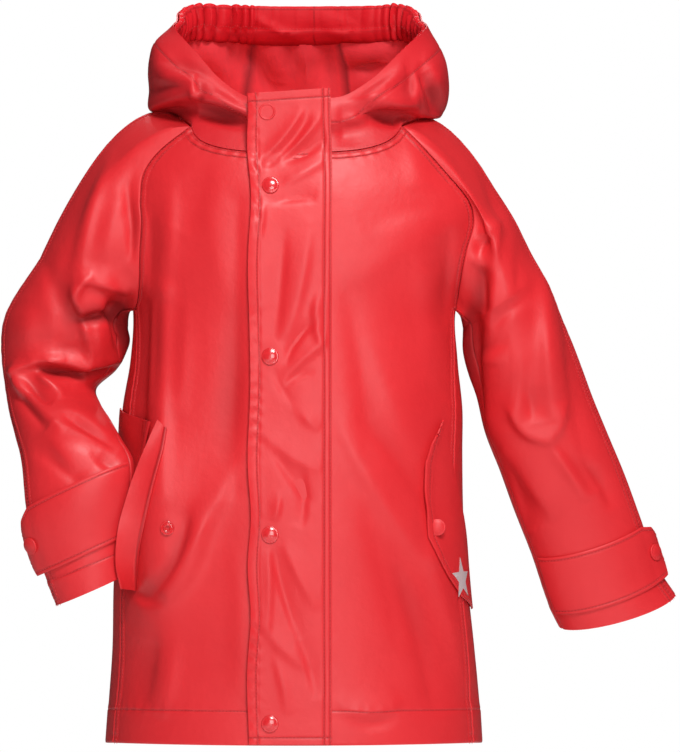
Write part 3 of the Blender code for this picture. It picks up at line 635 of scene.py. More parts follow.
# Body: half widths to the wearer's right and left, depths to front and back, and the side
# seam's angle round the section from centre front.
TORSO = table("z right left front back seam", """
-566 171 169 125 124 68
-510 167 165.5 122 121 68
-465 164 161 120 118 68
-412 163 155.5 119 115 68
-350 160 151.5 118 112 68
-290 157 150.5 116 110 68
-250 155 150.5 113 109 69
-207 148 146 110 108 72
-158 146 145 107 107 76
-112 156 166 104 106 76
-82 160 173 101 105 76
-60 160 171 97 102 76
-38 157 157 91 98 76
-17 144 141 83.5 91 76
4 122 124 74 82 76
30 104 112 60 69 76
""")
# Raglan seams from armpit to neck.
RAGLAN_FRONT = table("share z right left", """
0 -162 143 142.5
0.1 -146 137.3 145
0.32 -111 135.5 151.5
0.48 -84 134 158
0.62 -64 135.5 152.8
0.76 -40 132 132
0.88 -20 117 113
1 0 91.3 95
""")
RAGLAN_BACK = table("share z angle", """
0 -162 76
0.12 -159 93
0.25 -146 113
0.42 -115 126
0.6 -72 134
0.8 -22 140
1 22 144
""")
# Creases: a bent line from one end to the other seen from the front (from behind, for the
# back), its half width, its height, and how full it starts, from 0 to a half.
FRONT_FOLDS = table(FOLD_COLUMNS, """
-111 -55 -116 -155 0.06 15 3.2 0.1
-112 -148 -116 -335 0 12 5 0.25
-131 -160 -136 -320 0 10 -4 0.2
-125 -77 -123 -155 -0.03 8 -2.4 0.1
-116 -155 -114 -246 -0.06 12 -2.6 0.1
-97 -164 -106 -259 0.05 16 2.6 0.1
-44 -181 -62 -329 -0.06 20 -2 0.1
-52 -290 -118 -412 0.08 15 3.6 0.05
-93 -350 -137 -419 0.22 8 -4.6 0.2
-78 -352 -122 -426 0.22 9 3.4 0.1
-100 -372 -132 -404 0.1 7 2.4 0.1
-144 -409 -109 -419 -0.15 7 -2.6 0.3
-125 -451 -135 -513 0.05 13 -3 0.1
-106 -459 -116 -520 0.04 13 2.2 0.1
-48 -381 -47 -503 0.05 16 1.6 0.1
-68 -68 -47 -172 -0.08 24 2 0.1
-81 -33 -99 -94 0.1 22 -1.6 0.1
-50 -70 -54 -330 0 13 -2.4 0.1
138 -83 44 -143 -0.06 24 1.8 0.2
141 -64 58 -89 -0.06 20 -1.4 0.1
136 -98 129 -181 0.05 10 -3.4 0.1
114 -122 119 -233 0.06 18 2.6 0.1
51 -155 68 -303 0.05 18 -2 0.1
67 -181 115 -294 -0.06 20 1.8 0.1
45 -268 124 -392 -0.06 15 2.8 0.1
68 -259 133 -347 -0.02 14 -2.4 0.1
121 -381 154 -503 0.03 13 3 0.3
93 -390 128 -521 0.03 14 -2.8 0.1
68 -347 96 -460 0.04 16 -1.8 0.1
46 -509 95 -503 -0.35 9 2.6 0.1
51 -520 91 -518 -0.25 7 -1.8 0.1
102 -5 110 -59 0.1 18 1.8 0.1
""")
BACK_FOLDS = table(FOLD_COLUMNS, """
-96 -60 -118 -210 0.06 15 3 0.1
-60 -40 -84 -190 0.08 17 -2.2 0.1
100 -70 122 -230 -0.05 14 3 0.1
60 -60 78 -200 -0.06 18 -2 0.1
-134 -170 -40 -262 0.12 12 2.6 0.3
-128 -196 -52 -292 0.12 12 -2.4 0.1
136 -168 58 -250 -0.14 12 2.8 0.3
126 -200 60 -284 -0.12 12 -2.2 0.1
-20 -96 -12 -330 0.03 22 1.8 0.1
-118 -300 -128 -520 0.03 15 3 0.1
-88 -330 -92 -545 -0.03 16 -2.6 0.3
-52 -380 -56 -548 0.03 17 2.4 0.3
16 -360 10 -548 -0.03 19 -2.2 0.3
54 -400 62 -548 0.03 16 2.6 0.3
96 -310 104 -548 0.04 16 -2.8 0.3
130 -330 138 -540 -0.03 13 2.8 0.3
""")


SIDE_ANGLE = 90             # angle at which the front ends and the back begins
SIDE_FADE = 14              # degrees beside it over which the folds fade
ANGLE_STEP = 0.5            # degrees to both sides by which the surface's slope is read
LEAST_ANGLE = 0.05
SEARCH_ROUNDS = 5
SEARCH_STEP = 0.8
FRONT_ROW_CURVE = 2.6       # how late a row leaves the middle's height for its side edge's
BACK_ROW_CURVE = 1.6
RAGLAN_PART = (0.62, 1.0)   # part of the back's side edges that is stitched, up from the armpit


def word_of(side):
    return "right" if side < 0 else "left"


def half_width(side, z):
    return np.where(side < 0, read(TORSO, "right", z), read(TORSO, "left", z))


def torso_point(side, angle, z):
    """Point on the plain body at an angle in degrees from centre front."""
    turn = np.radians(angle)
    power = 2 / SQUARENESS
    x = side * half_width(side, z) * np.abs(np.sin(turn)) ** power
    deep = np.where(turn < math.pi / 2, -read(TORSO, "front", z), read(TORSO, "back", z))
    y = deep * np.abs(np.cos(turn)) ** power
    return np.stack(np.broadcast_arrays(x, y, z), axis=-1)


def torso_surface(side, angle, z, lift=0.0):
    """Point of the body's cloth with its folds, moved out by lift."""
    side, angle, z = np.broadcast_arrays(side, np.asarray(angle, float), np.asarray(z, float))
    low = np.maximum(angle - ANGLE_STEP, LEAST_ANGLE)
    along = torso_point(side, angle + ANGLE_STEP, z) - torso_point(side, low, z)
    up = torso_point(side, angle, z + 1.0) - torso_point(side, angle, z - 1.0)
    normal = unit(np.cross(along, up)) * side[..., None]
    point = torso_point(side, angle, z)
    swell = (side < 0) * SWELL_HEIGHT * np.exp(
        -((angle - SWELL_ANGLE) / SWELL_ANGLE_SPREAD) ** 2
        - ((z - SWELL_Z) / SWELL_Z_SPREAD) ** 2)
    swollen = np.stack([point[..., 0] + normal[..., 0] * swell, z, z], axis=-1)
    folds = FOLD_STRENGTH * np.where(angle < SIDE_ANGLE, relief(FRONT_FOLDS, swollen),
                                     relief(BACK_FOLDS, swollen))
    fade = np.clip(np.abs(angle - SIDE_ANGLE) / SIDE_FADE, 0, 1)
    return point + normal * (swell + folds * fade + lift)[..., None]


def torso_angle(side, x, z):
    """Angle at which the front of the body reaches a distance x from the centre plane."""
    share = np.clip(np.abs(x) / half_width(side, z), 0, 1)
    return np.degrees(np.arcsin(share ** (SQUARENESS / 2)))


def on_front(x, z, lift=0.0):
    """Point on the front's cloth that is seen at a place from the front."""
    x, z = np.broadcast_arrays(np.asarray(x, float), np.asarray(z, float))
    side = np.where(x < 0, -1, 1)
    plain_x = x
    for _ in range(SEARCH_ROUNDS):
        point = torso_surface(side, torso_angle(side, plain_x, z), z, lift)
        plain_x = plain_x + SEARCH_STEP * (x - point[..., 0])
    return point


side_shares = np.union1d(spread(SIDE_LENGTH, fine_start=True),
                         (HEM_STITCH + BESIDE_STITCHES) / SIDE_LENGTH)
raglan_shares = spread(RAGLAN_LENGTH, fine_end=True)


def raglan(side, back, share):
    """Angles and heights of a raglan seam at shares of the way from armpit to neck."""
    if back:
        return read(RAGLAN_BACK, "angle", share), read(RAGLAN_BACK, "z", share)
    z = read(RAGLAN_FRONT, "z", share)
    return torso_angle(side, read(RAGLAN_FRONT, word_of(side), share), z), z


def half_panel(side, back):
    """Rows from hem to neck, columns from centre front or from centre back to the side."""
    hem, neck, length, curve = (
        (BACK_HEM_Z, BACK_NECK_Z, BACK_LENGTH_ACROSS, BACK_ROW_CURVE) if back
        else (FRONT_HEM_Z, FRONT_NECK_Z, FRONT_LENGTH_ACROSS, FRONT_ROW_CURVE))
    seam_z = SIDE_HEM_Z + (ARMPIT_Z - SIDE_HEM_Z) * side_shares
    angle, z = raglan(side, back, raglan_shares[1:])
    edge_angle, edge_z = np.append(read(TORSO, "seam", seam_z), angle), np.append(seam_z, z)
    middle_z = np.append(hem + (ARMPIT_Z - hem) * side_shares,
                         ARMPIT_Z + (neck - ARMPIT_Z) * raglan_shares[1:])
    across = spread(length, fine_end=True)
    z = between(middle_z[:, None], edge_z[:, None], across ** curve)
    return torso_surface(side, between(180.0 if back else 0.0, edge_angle[:, None], across), z)


neck_edges = {}
neck_rows = (("last row", FELL_WIDTH), ("last row", EDGE_STITCH))
for side in (-1, 1):
    outer_edge = "first column" if side < 0 else "last column"
    grid = outward(half_panel(side, back=False), side)
    neck_edges["front", side] = grid[-1][::side]
    grid, normals = sewn(grid, {outer_edge: "fell", "first row": "hem", "last row": "fell"})
    rows = ((outer_edge, FELL_WIDTH), (outer_edge, EDGE_STITCH), ("first row", HEM_STITCH),
            *neck_rows)
    # Shade is painted into the valleys of the front's folds.
    add_panel(f"front_{word_of(side)}", grid, normals, FRONT_CUT_M, "hung", rows,
              (*rows, (outer_edge, 0.0)), deep_folds(FRONT_FOLDS, grid, FOLD_STRENGTH))

left_back, right_back = half_panel(1, back=True)[:, ::-1], half_panel(-1, back=True)
neck_edges["back", 1], neck_edges["back", -1] = left_back[-1], right_back[-1, ::-1]
side_seams = ("first column", "last column")
grid, normals = sewn(np.concatenate([left_back, right_back[:, 1:]], axis=1),
                     {"first column": "ridge", "last column": "ridge", "first row": "hem",
                      "last row": "fell"})
rows = (("first row", HEM_STITCH), *neck_rows)
add_panel("back", grid, normals, BACK_CUT_M, "hung", rows,
          (*rows, *((edge, 0.0) for edge in side_seams)))
for edge in side_seams:
    along_edge(grid, normals, edge, FELL_WIDTH, part=RAGLAN_PART)
sew("body_stitches")

# --- Sleeves ----------------------------------------------------------------------------
# Each raglan sleeve is a front and a back half joined under and over the arm. The right
# arm is bent, its cuff tucked into the pocket; the left hangs away from the body.
RIGHT_ARM = table("in_x in_z out_x out_z y depth drop", """
-150 -177 -229 -115 4 61 0
-150 -195 -261 -166 10 55 0
-161 -215 -265 -193 13 50 2
-179 -232 -262 -223 8 46 0
-175 -246 -257 -250 -6 44 -6
-163 -263 -249 -275 -32 41 -12
-151 -279 -240 -301 -65 33 -10
-141 -296 -235 -338 -80 28 -4
-146 -361 -219 -394 -80 25 0
-147 -395 -208 -422 -80 24 1
""")
LEFT_ARM = table("in_x in_z out_x out_z y depth drop", """
151 -178 221 -131 4 60 0
151 -199 236 -161 4 54 0
156 -220 249 -189 4 50 0
163 -239 258 -212 6 47 0
171 -271 268 -239 8 43 2
185 -307 283 -275 11 39 5
197 -340 297 -308 15 35 8
213 -380 313 -351 20 31 11
231 -431 331 -400 25 28 12
239 -447 344 -419 27 28 10
""")
RIGHT_SLEEVE_FOLDS = table(FOLD_COLUMNS, """
-166 -32 -192 -140 -0.05 9 3 0.12
-172 -30 -206 -136 -0.05 11 -2.2 0.1
-147 -56 -142 -120 0.06 9 -3.8 0.1
-158 -65 -169 -120 -0.05 15 2.6 0.1
-150 -147 -190 -137 -0.1 6.5 4.2 0.3
-181 -134 -194 -160 -0.3 6 4.6 0.1
-195 -148 -181 -214 0.06 6 5.2 0.15
-218 -126 -198 -190 0.04 13 -3.6 0.1
-187 -164 -149 -159 -0.04 6 4.6 0.3
-187 -171 -150 -168 0.04 7 -8 0.25
-158 -162 -153 -208 0.08 11 -11 0.3
-174 -178 -173 -208 0 8 3 0.2
-216 -196 -184 -202 0.1 9 -3.4 0.1
-250 -218 -204 -209 0.2 5.5 4.8 0.25
-218 -208 -182 -216 0.02 5.5 4.6 0.2
-190 -216 -151 -203 -0.06 5.5 4.8 0.3
-226 -216 -186 -222 0 6.5 -6 0.2
-228 -214 -184 -220 -0.06 4 -2.6 0.2
-192 -221 -157 -212 -0.06 4.5 -5 0.2
-231 -211 -203 -238 -0.2 5.5 4 0.15
-239 -222 -214 -246 -0.14 5.5 -3.4 0.1
-248 -216 -240 -240 -0.14 6 3.8 0.15
-246 -228 -200 -270 -0.1 8 4.2 0.15
-248 -238 -216 -268 0.06 9 -3.6 0.1
-203 -249 -158 -274 0.06 7 2.2 0.1
-198 -259 -153 -285 0.06 6 -3 0.1
-183 -238 -152 -268 0.06 6 2.4 0.1
-238 -160 -240 -205 0.05 14 2.4 0.1
-206 -101 -231 -160 0.05 14 1.4 0.1
-215 -272 -190 -306 0.1 12 2.4 0.1
-222 -290 -186 -316 0.1 8 -2.4 0.1
-172 -292 -154 -304 0 6 -2.4 0.1
""")
LEFT_SLEEVE_FOLDS = table(FOLD_COLUMNS, """
178 -90 160 -97 0.1 4.5 2 0.2
180 -88 177 -136 -0.03 5.5 2.2 0.3
172 -100 161 -112 0.1 5.5 -2.6 0.1
156 -118 174 -130 0.1 5 2.2 0.2
168 -130 165 -166 0 8 -7 0.25
176 -136 167 -196 0.05 9 2 0.2
165 -194 180 -286 -0.03 8 2.6 0.2
157 -168 162 -262 -0.05 10 -8 0.25
208 -150 174 -178 -0.08 9 -2 0.1
204 -140 176 -164 -0.08 9 1.2 0.1
221 -110 232 -262 -0.03 12 5 0.1
201 -206 196 -264 0.05 8 1.6 0.1
195 -254 232 -278 -0.4 6 3 0.25
228 -279 238 -244 -0.25 7 2.6 0.1
208 -230 214 -262 0 9 -3 0.1
164 -198 190 -193 0.1 8 -1.4 0.2
166 -209 190 -207 0.1 8 1.2 0.2
187 -66 214 -150 -0.05 13 1.8 0.1
198 -104 199 -150 0.05 8 -1.8 0.1
240 -150 262 -300 -0.04 12 -2.2 0.05
186 -280 236 -350 -0.06 11 2.2 0.1
194 -300 212 -360 0.04 9 -2.2 0.1
232 -286 262 -334 0.04 9 2.4 0.1
238 -284 270 -326 0.04 8 -2.4 0.1
262 -300 286 -340 0.1 7 -2.4 0.1
170 -45 182 -83 0.05 7 -1.8 0.1
""")
RIGHT_SLEEVE_BACK_FOLDS = table(FOLD_COLUMNS, """
-150 -60 -178 -132 -0.08 9 3.2 0.1
-166 -50 -204 -130 -0.06 12 -2.4 0.1
-176 -150 -236 -128 0.2 7 3.6 0.1
-170 -176 -242 -160 0.16 7 -3.8 0.1
-174 -206 -252 -206 0.1 6 3.4 0.2
-176 -226 -248 -232 -0.08 7 -3.6 0.1
-168 -246 -244 -262 -0.1 6 3.2 0.1
-196 -120 -226 -186 0.08 15 2 0.1
-160 -270 -226 -304 -0.1 9 -2.4 0.1
-180 -290 -200 -352 0.06 10 1.8 0.1
""")
LEFT_SLEEVE_BACK_FOLDS = table(FOLD_COLUMNS, """
170 -70 190 -150 0.08 9 3 0.1
196 -70 218 -160 0.06 13 -2.2 0.1
164 -160 214 -188 0.14 7 3.2 0.2
166 -186 224 -206 0.12 7 -3.2 0.1
172 -214 240 -222 0.12 7 2.8 0.1
180 -244 262 -236 0.1 9 -2.4 0.1
196 -262 238 -350 -0.05 10 2.2 0.1
232 -256 276 -336 0.04 12 -2 0.1
206 -330 262 -356 0.08 9 2 0.1
""")
SLEEVE_FOLD_STRENGTH = 1.4
OUTLINE_SHARE = 0.05         # of a crease's height at the sleeve's inner and outer edges
UNDERARM_SPREAD = 1.0
UNDERARM_TURN = 160.0
OVERARM_TURN = 18.0
SHOULDER_NECK = {"right": (-102.0, 2.0, 13.0), "left": (110.0, 2.0, 12.0)}
SHOULDER_SLOPE = {"right": 0.5, "left": 0.1}
HEAD_LEAVE = {"right": 1.12, "left": 0.8}
HEAD_ARRIVE = {"right": 0.3, "left": 0.05}
HEAD_LENGTH = 95.0
ARM_LENGTH = 345.0
ROUND_LENGTH = 150.0
RAGLAN_SHARE = 0.8          # part of a sleeve half's first row that lies on its raglan seam
CUFF_WIDTH = 24.0
CUFF_STITCH = CUFF_WIDTH - 1.4
CUFF_RISE = 0.5
CUFF_SOFT = 0.8
CUFF_GROOVE = 0.45
MEET_FROM = -0.5            # how far forward the cloth faces where the back's creases begin to
MEET_TO = 0.2               # give way to the front's, and where they are gone
OUTLINE_FACING = 0.55       # creases are full where the cloth faces at least this far to or fro
ARMHOLE_CALM = 14           # length from the armhole over which creases grow
AXIS_STEP = 0.02
SLEEVE_CUTS_M = {"front": (0.185, 0.47, 0.053), "back": (0.235, 0.47, 0.075)}


def neck_stretch(side, back, places):
    """Neck seam on the sleeve, from a raglan seam's top to the shoulder's middle."""
    tops = [torso_surface(side, *[item[()] for item in raglan(side, behind, np.array(1.0))])
            for behind in (False, True)]
    ring = np.array([tops[0], SHOULDER_NECK[word_of(side)], tops[1]])
    return through([0, 1, 2], ring[::-1] if back else ring, places)


def armhole(side, back, places):
    """A sleeve half's first row: armpit, raglan seam, then its stretch of the neck seam."""
    on_seam = places <= RAGLAN_SHARE
    seam = torso_surface(side, *raglan(side, back, places[on_seam] / RAGLAN_SHARE))
    neck = neck_stretch(side, back, (places[~on_seam] - RAGLAN_SHARE) / (1 - RAGLAN_SHARE))
    return np.vstack([seam, neck])


def arm_rings(side):
    """Places along the arm, and each ring's centre, outward and forward half axes."""
    arm = RIGHT_ARM if side < 0 else LEFT_ARM
    inner = np.stack([arm["in_x"], arm["y"], arm["in_z"]], axis=-1)
    outer = np.stack([arm["out_x"], arm["y"], arm["out_z"]], axis=-1)
    forward = np.stack([0 * arm["y"], -arm["depth"], -arm["drop"]], axis=-1)
    centre = (inner + outer) / 2
    along = length_along(centre)
    return along / along[-1], centre, (outer - inner) / 2, forward


def arm_ring(side, share, turn):
    """Points and normals round the sleeve at a share of its length; turn 90 is the front."""
    places, *axes = arm_rings(side)
    centre, reach, forward = (through(places, item, share) for item in axes)
    angle = np.radians(turn)[:, None]
    ring = centre + reach * np.cos(angle) + forward * np.sin(angle)
    normal = (reach / np.dot(reach, reach) * np.cos(angle)
              + forward / np.dot(forward, forward) * np.sin(angle))
    return ring, unit(normal)


def sleeve_half(side, back):
    """Rows from armhole to cuff, columns from the underarm seam to the overarm seam."""
    columns = spread(ROUND_LENGTH, fine_start=True, fine_end=True, coarse=2.7)
    start = armhole(side, back, columns)
    turn = UNDERARM_TURN + (OVERARM_TURN + 360 * back - UNDERARM_TURN) * columns
    first = arm_ring(side, 0.0, turn)[0]
    chord = first - start
    reach = np.linalg.norm(chord, axis=1, keepdims=True)
    over = columns[:, None] ** 2
    flat = np.array([side * 1.0, 0.0, SHOULDER_SLOPE[word_of(side)]])
    clear = np.array([side * UNDERARM_SPREAD, 0.0, 0.0])
    leave = unit((unit(chord) + clear) * (1 - over) + flat * over)
    leave_length = reach * HEAD_LEAVE[word_of(side)]
    arrive_length = reach * HEAD_ARRIVE[word_of(side)]
    places, centres = arm_rings(side)[:2]
    axis = unit(through(places, centres, AXIS_STEP) - through(places, centres, 0.0))
    beside_cuff = 1 - (CUFF_STITCH + BESIDE_STITCHES) / ARM_LENGTH
    rows = [bridge(start, first, leave * leave_length, axis * arrive_length, share)
            for share in spread(HEAD_LENGTH, fine_start=True, coarse=2.6)]
    rows += [arm_ring(side, share, turn)[0] for share in
             np.union1d(spread(ARM_LENGTH, fine_end=True, coarse=2.5)[1:], beside_cuff)]
    return np.array(rows), turn


for side in (-1, 1):
    front_folds, back_folds = ((RIGHT_SLEEVE_FOLDS, RIGHT_SLEEVE_BACK_FOLDS) if side < 0
                               else (LEFT_SLEEVE_FOLDS, LEFT_SLEEVE_BACK_FOLDS))
    for back, half in enumerate(("front", "back")):
        grid, turn = sleeve_half(side, back)
        out = side * (1 if back else -1)
        # The creases of both halves meet across their seams and fade at the armhole.
        facing = np.sin(np.radians(turn))[None, :]
        front_share = ease((facing - MEET_FROM) / (MEET_TO - MEET_FROM))
        height = (relief(front_folds, grid) * front_share
                  + relief(back_folds, grid) * ease((MEET_TO - facing) / (MEET_TO - MEET_FROM)))
        height *= OUTLINE_SHARE + (1 - OUTLINE_SHARE) * ease(np.abs(facing) / OUTLINE_FACING)
        from_armhole = edge_distance(grid, "first row")
        height = SLEEVE_FOLD_STRENGTH * height * ease(from_armhole / ARMHOLE_CALM)
        grid = outward(grid + grid_normals(grid) * out * height[..., None], out)
        under, over = side_seams[::out]
        grid, normals = sewn(grid, {under: "plain", over: "fell", "first row": "plain"},
                             pucker=0.12)
        from_cuff = edge_distance(grid, "last row")
        turned_in = CUFF_RISE * fading(from_cuff, CUFF_WIDTH, CUFF_SOFT)
        turned_in -= CUFF_GROOVE * hump(from_cuff - CUFF_STITCH, 1.0)
        grid = grid + normals * turned_in[..., None]
        rows = (("last row", CUFF_STITCH), (over, FELL_WIDTH), (over, EDGE_STITCH))
        # Shade is painted into the valleys of the front half's creases.
        add_panel(f"sleeve_{word_of(side)}_{half}", grid, normals, SLEEVE_CUTS_M[half], "hung",
                  rows, (*rows, (over, 0.0), (under, 0.0), ("first row", 0.0)),
                  deep_folds(front_folds, grid, SLEEVE_FOLD_STRENGTH) * front_share[:, ::out])
sew("sleeve_stitches")

# --- Hood -------------------------------------------------------------------------------
# Two sides and a centre panel of the coated cloth, lined with a matt woven cloth. The
# face edge is turned in as a casing, whose elastic gathers it.
HOOD = table("angle fold_r fold_z belly_r belly_z brim_r brim_z", """
0 82 -6 80 12 76 31
28 88 -6 93 8 87 25
45 97 4 104 22 90 40
68 113 18 121 46 97 70
90 126 20 129 71 109 92
115 138 20 141 67 120 105
126 145 14 151 58 134 114
136 149 9 165 48 141.5 121
150 151.5 -20 172 32 132 122
165 153 -55 178 10 120 122
180 152 -60 181 4 116 122
""")
HOOD_LEFT_WIDER = {"fold": 5.0, "belly": 6.0, "brim": 9.0}
HOOD_LEFT_LOWER = {"fold": 6.0, "belly": 13.0, "brim": 0.0}
HOOD_SEAM_ANGLE = 162.0
HOOD_COLUMNS = 170          # on each side
HOOD_LENGTH = 120.0
HOOD_FOLDS = table(FOLD_COLUMNS, """
-84 27 -34 9 -0.05 7 6.4 0.25
-86 13 -38 0 -0.05 7.5 -5.4 0.1
-82 19 -38 4 -0.05 4 -2.4 0.2
-84 38 -80 22 0.1 6.5 -3.6 0.2
-130 20 -84 28 0.05 8 4.2 0.3
-128 8 -88 15 0.05 7.5 -4.4 0.1
-122 47 -66 37 -0.06 11 3.4 0.1
-118 62 -62 45 -0.05 9 -2.6 0.1
-126 36 -88 36 0.05 8 -2.6 0.1
36 30 101 49 -0.06 14 4.4 0.3
104 50 103 20 -0.05 7.5 -3.4 0.1
118 60 136 18 0.1 8 3.2 0.1
114 50 126 12 0.1 7 -5 0.1
54 26 112 20 -0.1 10 5 0.15
62 9 112 7 -0.08 7.5 -6 0.1
43 18 44 -20 0.03 8 -1.4 0.1
""")
HOOD_BACK_FOLDS = table(FOLD_COLUMNS, """
-120 20 -60 -14 -0.1 8 3.2 0.1
-96 60 -30 6 -0.12 9 -3 0.1
-60 96 -20 40 0.08 11 2.4 0.1
-40 10 40 4 0.12 9 3 0.1
-50 -24 46 -28 -0.08 8 -2.8 0.1
110 34 52 -10 0.1 8 3.2 0.1
92 70 30 16 0.1 9 -2.8 0.1
50 100 16 52 -0.08 12 2.2 0.1
""")
LINING_FOLDS = table(FOLD_COLUMNS, """
11 92 6 52 0.04 5 4.6 0.15
-6 90 -2 56 0.04 7 -3 0.1
-46 90 -26 42 0.1 8 -3.2 0.1
-34 72 4 62 0.12 7 2.8 0.1
24 92 36 46 0.08 8 -3.4 0.1
-84 84 -62 50 0.12 6 3.6 0.1
-70 90 -50 62 0.1 7 -3 0.1
54 76 90 88 -0.1 5 3.6 0.1
50 66 84 80 -0.1 6 -3.2 0.1
50 56 74 62 -0.1 6 3 0.1
""")
CASING_FOLDS = table(FOLD_COLUMNS, """
-36 117 0 104 -0.1 4.5 -1.6 0.1
-34 110 6 101 -0.1 4 2 0.1
-20 100 12 96 0.1 3.5 1.6 0.1
28 119 66 107 0.1 7 -1.6 0.1
30 104 72 98 -0.1 4.5 1.8 0.1
40 97 60 90 0.1 4 1.6 0.1
""")
# How strongly the elastic gathers the brim, by share of the way round from centre front.
GATHER_STRENGTH = table("share depth", """
0 0.1
0.12 0.25
0.22 0.55
0.3 0.9
0.36 1
0.415 0.9
0.428 0.2
0.5 0.06
0.532 0.16
0.542 0.9
0.6 1
0.68 0.9
0.76 0.55
0.88 0.25
1 0.1
""")
# Places of the deep valleys behind the opening, as distances to the centre plane.
LEFT_VALLEYS = (112, 104, 96, 88.5, 80, 74)
RIGHT_VALLEYS = (-38, -43.5, -51.5, -61, -75, -88, -97, -104)
VALLEYS_BEHIND_Y = 20.0
NECK_SEAM_GAP = 0.9
HOOD_FOLD_STRENGTH = 1.75
LINING = 1.0
LINING_GAP = 0.8
LINING_STANDS = 4.0         # how far the lining hangs in from the shell between its edges
LINING_FOLD_STRENGTH = 2.3
LINING_NECK_CALM = 10       # lengths over which its folds grow from the neck and the casing
LINING_CASING_CALM = 12
LINING_CASING_FLAT = 6      # and how far from the casing they begin
LINING_SEAM_DENT = 0.4
BRIM_GAP = 1.3
CASING = 22.5
CASING_PUFF = 6.5
CASING_ROWS = 16
CASING_GROOVE = 0.45
SHELL_PUFF = 1.2            # how far the gathers below the casing puff the shell out
SHELL_PUFF_REACH = 22
HOOD_NECK_CALM = 7          # lengths over which the shell's folds grow from neck and brim
HOOD_BRIM_CALM = 14
HOOD_BRIM_FLAT = 3
CASING_UPRIGHT = 8.0        # how far the casing's foot lies forward of the hood's even curve
UPRIGHT_FROM = 95           # angle where it begins to, and over how many degrees it grows
UPRIGHT_GROWS = 35
CASING_STITCHES = (("last row", 2.6), ("last row", CASING - 1.0))
FACING = 11.0               # shell cloth below the casing, down to the lining
PLEAT_WIDTH = 9.5
COLUMNS_PER_PLEAT = 10
PLEAT_SHIFT = 0.2           # how far pleats lie off even places, in pleats
PLEAT_LEAN = 0.10           # how far pleats lean between their foot and the brim, in pleats
PLEAT_DEPTHS = (0.8, 0.2)   # their mean depth and how much it varies
PLEAT_ROUND = 0.75          # power of a pleat's rounding, lower for a sharper valley
PLEAT_LEAST = 0.42          # share of the puff that pleats keep at the stitches and the brim
PLEAT_SPREADS = 0.25        # how much more they puff on the facing below the casing
PLEAT_LIFT = 2.0            # how far their tops stand over the brim
CASING_SINKS = 1.8          # how much deeper the casing's foot lies than its top
VALLEY_PAINTED_SHADE = 0.75
NECK_PLACES = 14
PROFILE_POINTS = 91
CASING_JOIN_X = 16.3
HOOD_CUTS_M = {"left": (0.31, 0.22, 0.044), "center": (0.19, 0.225, 0.038),
               "right": (0.31, 0.22, 0.044)}
LINING_CUTS_M = {"left": (0.30, 0.195, 0.034), "center": (0.19, 0.20, 0.034),
                 "right": (0.30, 0.195, 0.034)}


def plan_angle(points):
    """Angle round the neck, 0 at the front and 180 behind."""
    return np.degrees(np.arctan2(np.abs(points[:, 0]), -points[:, 1]))


def hood_lines(side):
    """Hood's profiles from neck to brim over one half of the neck seam, from its front."""
    half = np.linspace(0, 1, NECK_PLACES)[1:]
    ring = np.vstack([neck_edges["front", side], neck_stretch(side, False, half),
                      neck_stretch(side, True, half)[::-1][1:], neck_edges["back", side]])
    along = length_along(ring)
    ring = resampled(ring, along, np.linspace(0, along[-1], HOOD_COLUMNS))
    angle = plan_angle(ring)
    turn = np.radians(angle)
    fuller = np.sin(turn) ** 2 * (side > 0)
    knots = [ring + np.array([0, 0, NECK_SEAM_GAP])]
    for name in ("fold", "belly", "brim"):
        radius = read(HOOD, name + "_r", angle) + HOOD_LEFT_WIDER[name] * fuller
        height = read(HOOD, name + "_z", angle) - HOOD_LEFT_LOWER[name] * fuller
        knots.append(np.stack([side * radius * np.sin(turn), -radius * np.cos(turn), height], -1))
    lines = np.array([through([0, 1, 2, 3], knots, at)
                      for at in np.linspace(0, 3, PROFILE_POINTS)])
    below = edge_distance(lines, "last row")
    shift = np.sin(math.pi / 2 * np.minimum(below / CASING, 1)) * fading(below, 2.0 * CASING, 6.0)
    shift = CASING_UPRIGHT * shift * ease((angle - UPRIGHT_FROM) / UPRIGHT_GROWS)
    forward = np.stack([-side * np.sin(turn), np.cos(turn), 0 * turn], -1)
    return lines + shift[..., None] * forward


def in_front(normals_y):
    """1 where the hood's cloth faces forward, 0 where it has turned to the back."""
    return ease((0.25 - normals_y) / 0.5)


def valley_shares(brim):
    """Shares of the way round the brim at which its pleats' valleys lie."""
    share = np.linspace(0, 1, len(brim))
    behind = brim[:, 1] > VALLEYS_BEHIND_Y
    first, second = (
        np.interp(known, brim[part, 0][::-1], share[part][::-1]) for known, part in
        ((LEFT_VALLEYS, behind & (share < 0.5)), (RIGHT_VALLEYS, behind & (share > 0.5))))
    around = np.linalg.norm(np.diff(brim, axis=0), axis=1).sum()
    stretches = []
    for start, end in ((0.0, first[0]), (first[-1], second[0]), (second[-1], 1.0)):
        count = max(int(round((end - start) * around / PLEAT_WIDTH)), 1)
        places = np.linspace(start, end, count + 1)
        unevenness = np.sin(2.4 * np.arange(1, count) + 9 * start)
        places[1:-1] += PLEAT_SHIFT * PLEAT_WIDTH / around * unevenness
        stretches.append(places)
    return np.concatenate([stretches[0][:-1], first, stretches[1][1:-1], second, stretches[2][1:]])


def gathers(share, height):
    """Pleats of the elastic round the brim: uneven in width, depth and lean.

    Returns their height from 0 to 1, their running number and how strong they are.
    """
    count = np.interp(share, valleys, np.arange(len(valleys)))
    count = count + PLEAT_LEAN * height * np.sin(97 * share)
    depth = PLEAT_DEPTHS[0] + PLEAT_DEPTHS[1] * np.sin(2.3 * np.floor(count) + 0.7)
    strength = np.interp(share, GATHER_STRENGTH["share"], GATHER_STRENGTH["depth"])
    pleats = strength * depth * np.abs(np.sin(math.pi * count)) ** PLEAT_ROUND
    return pleats, count, strength


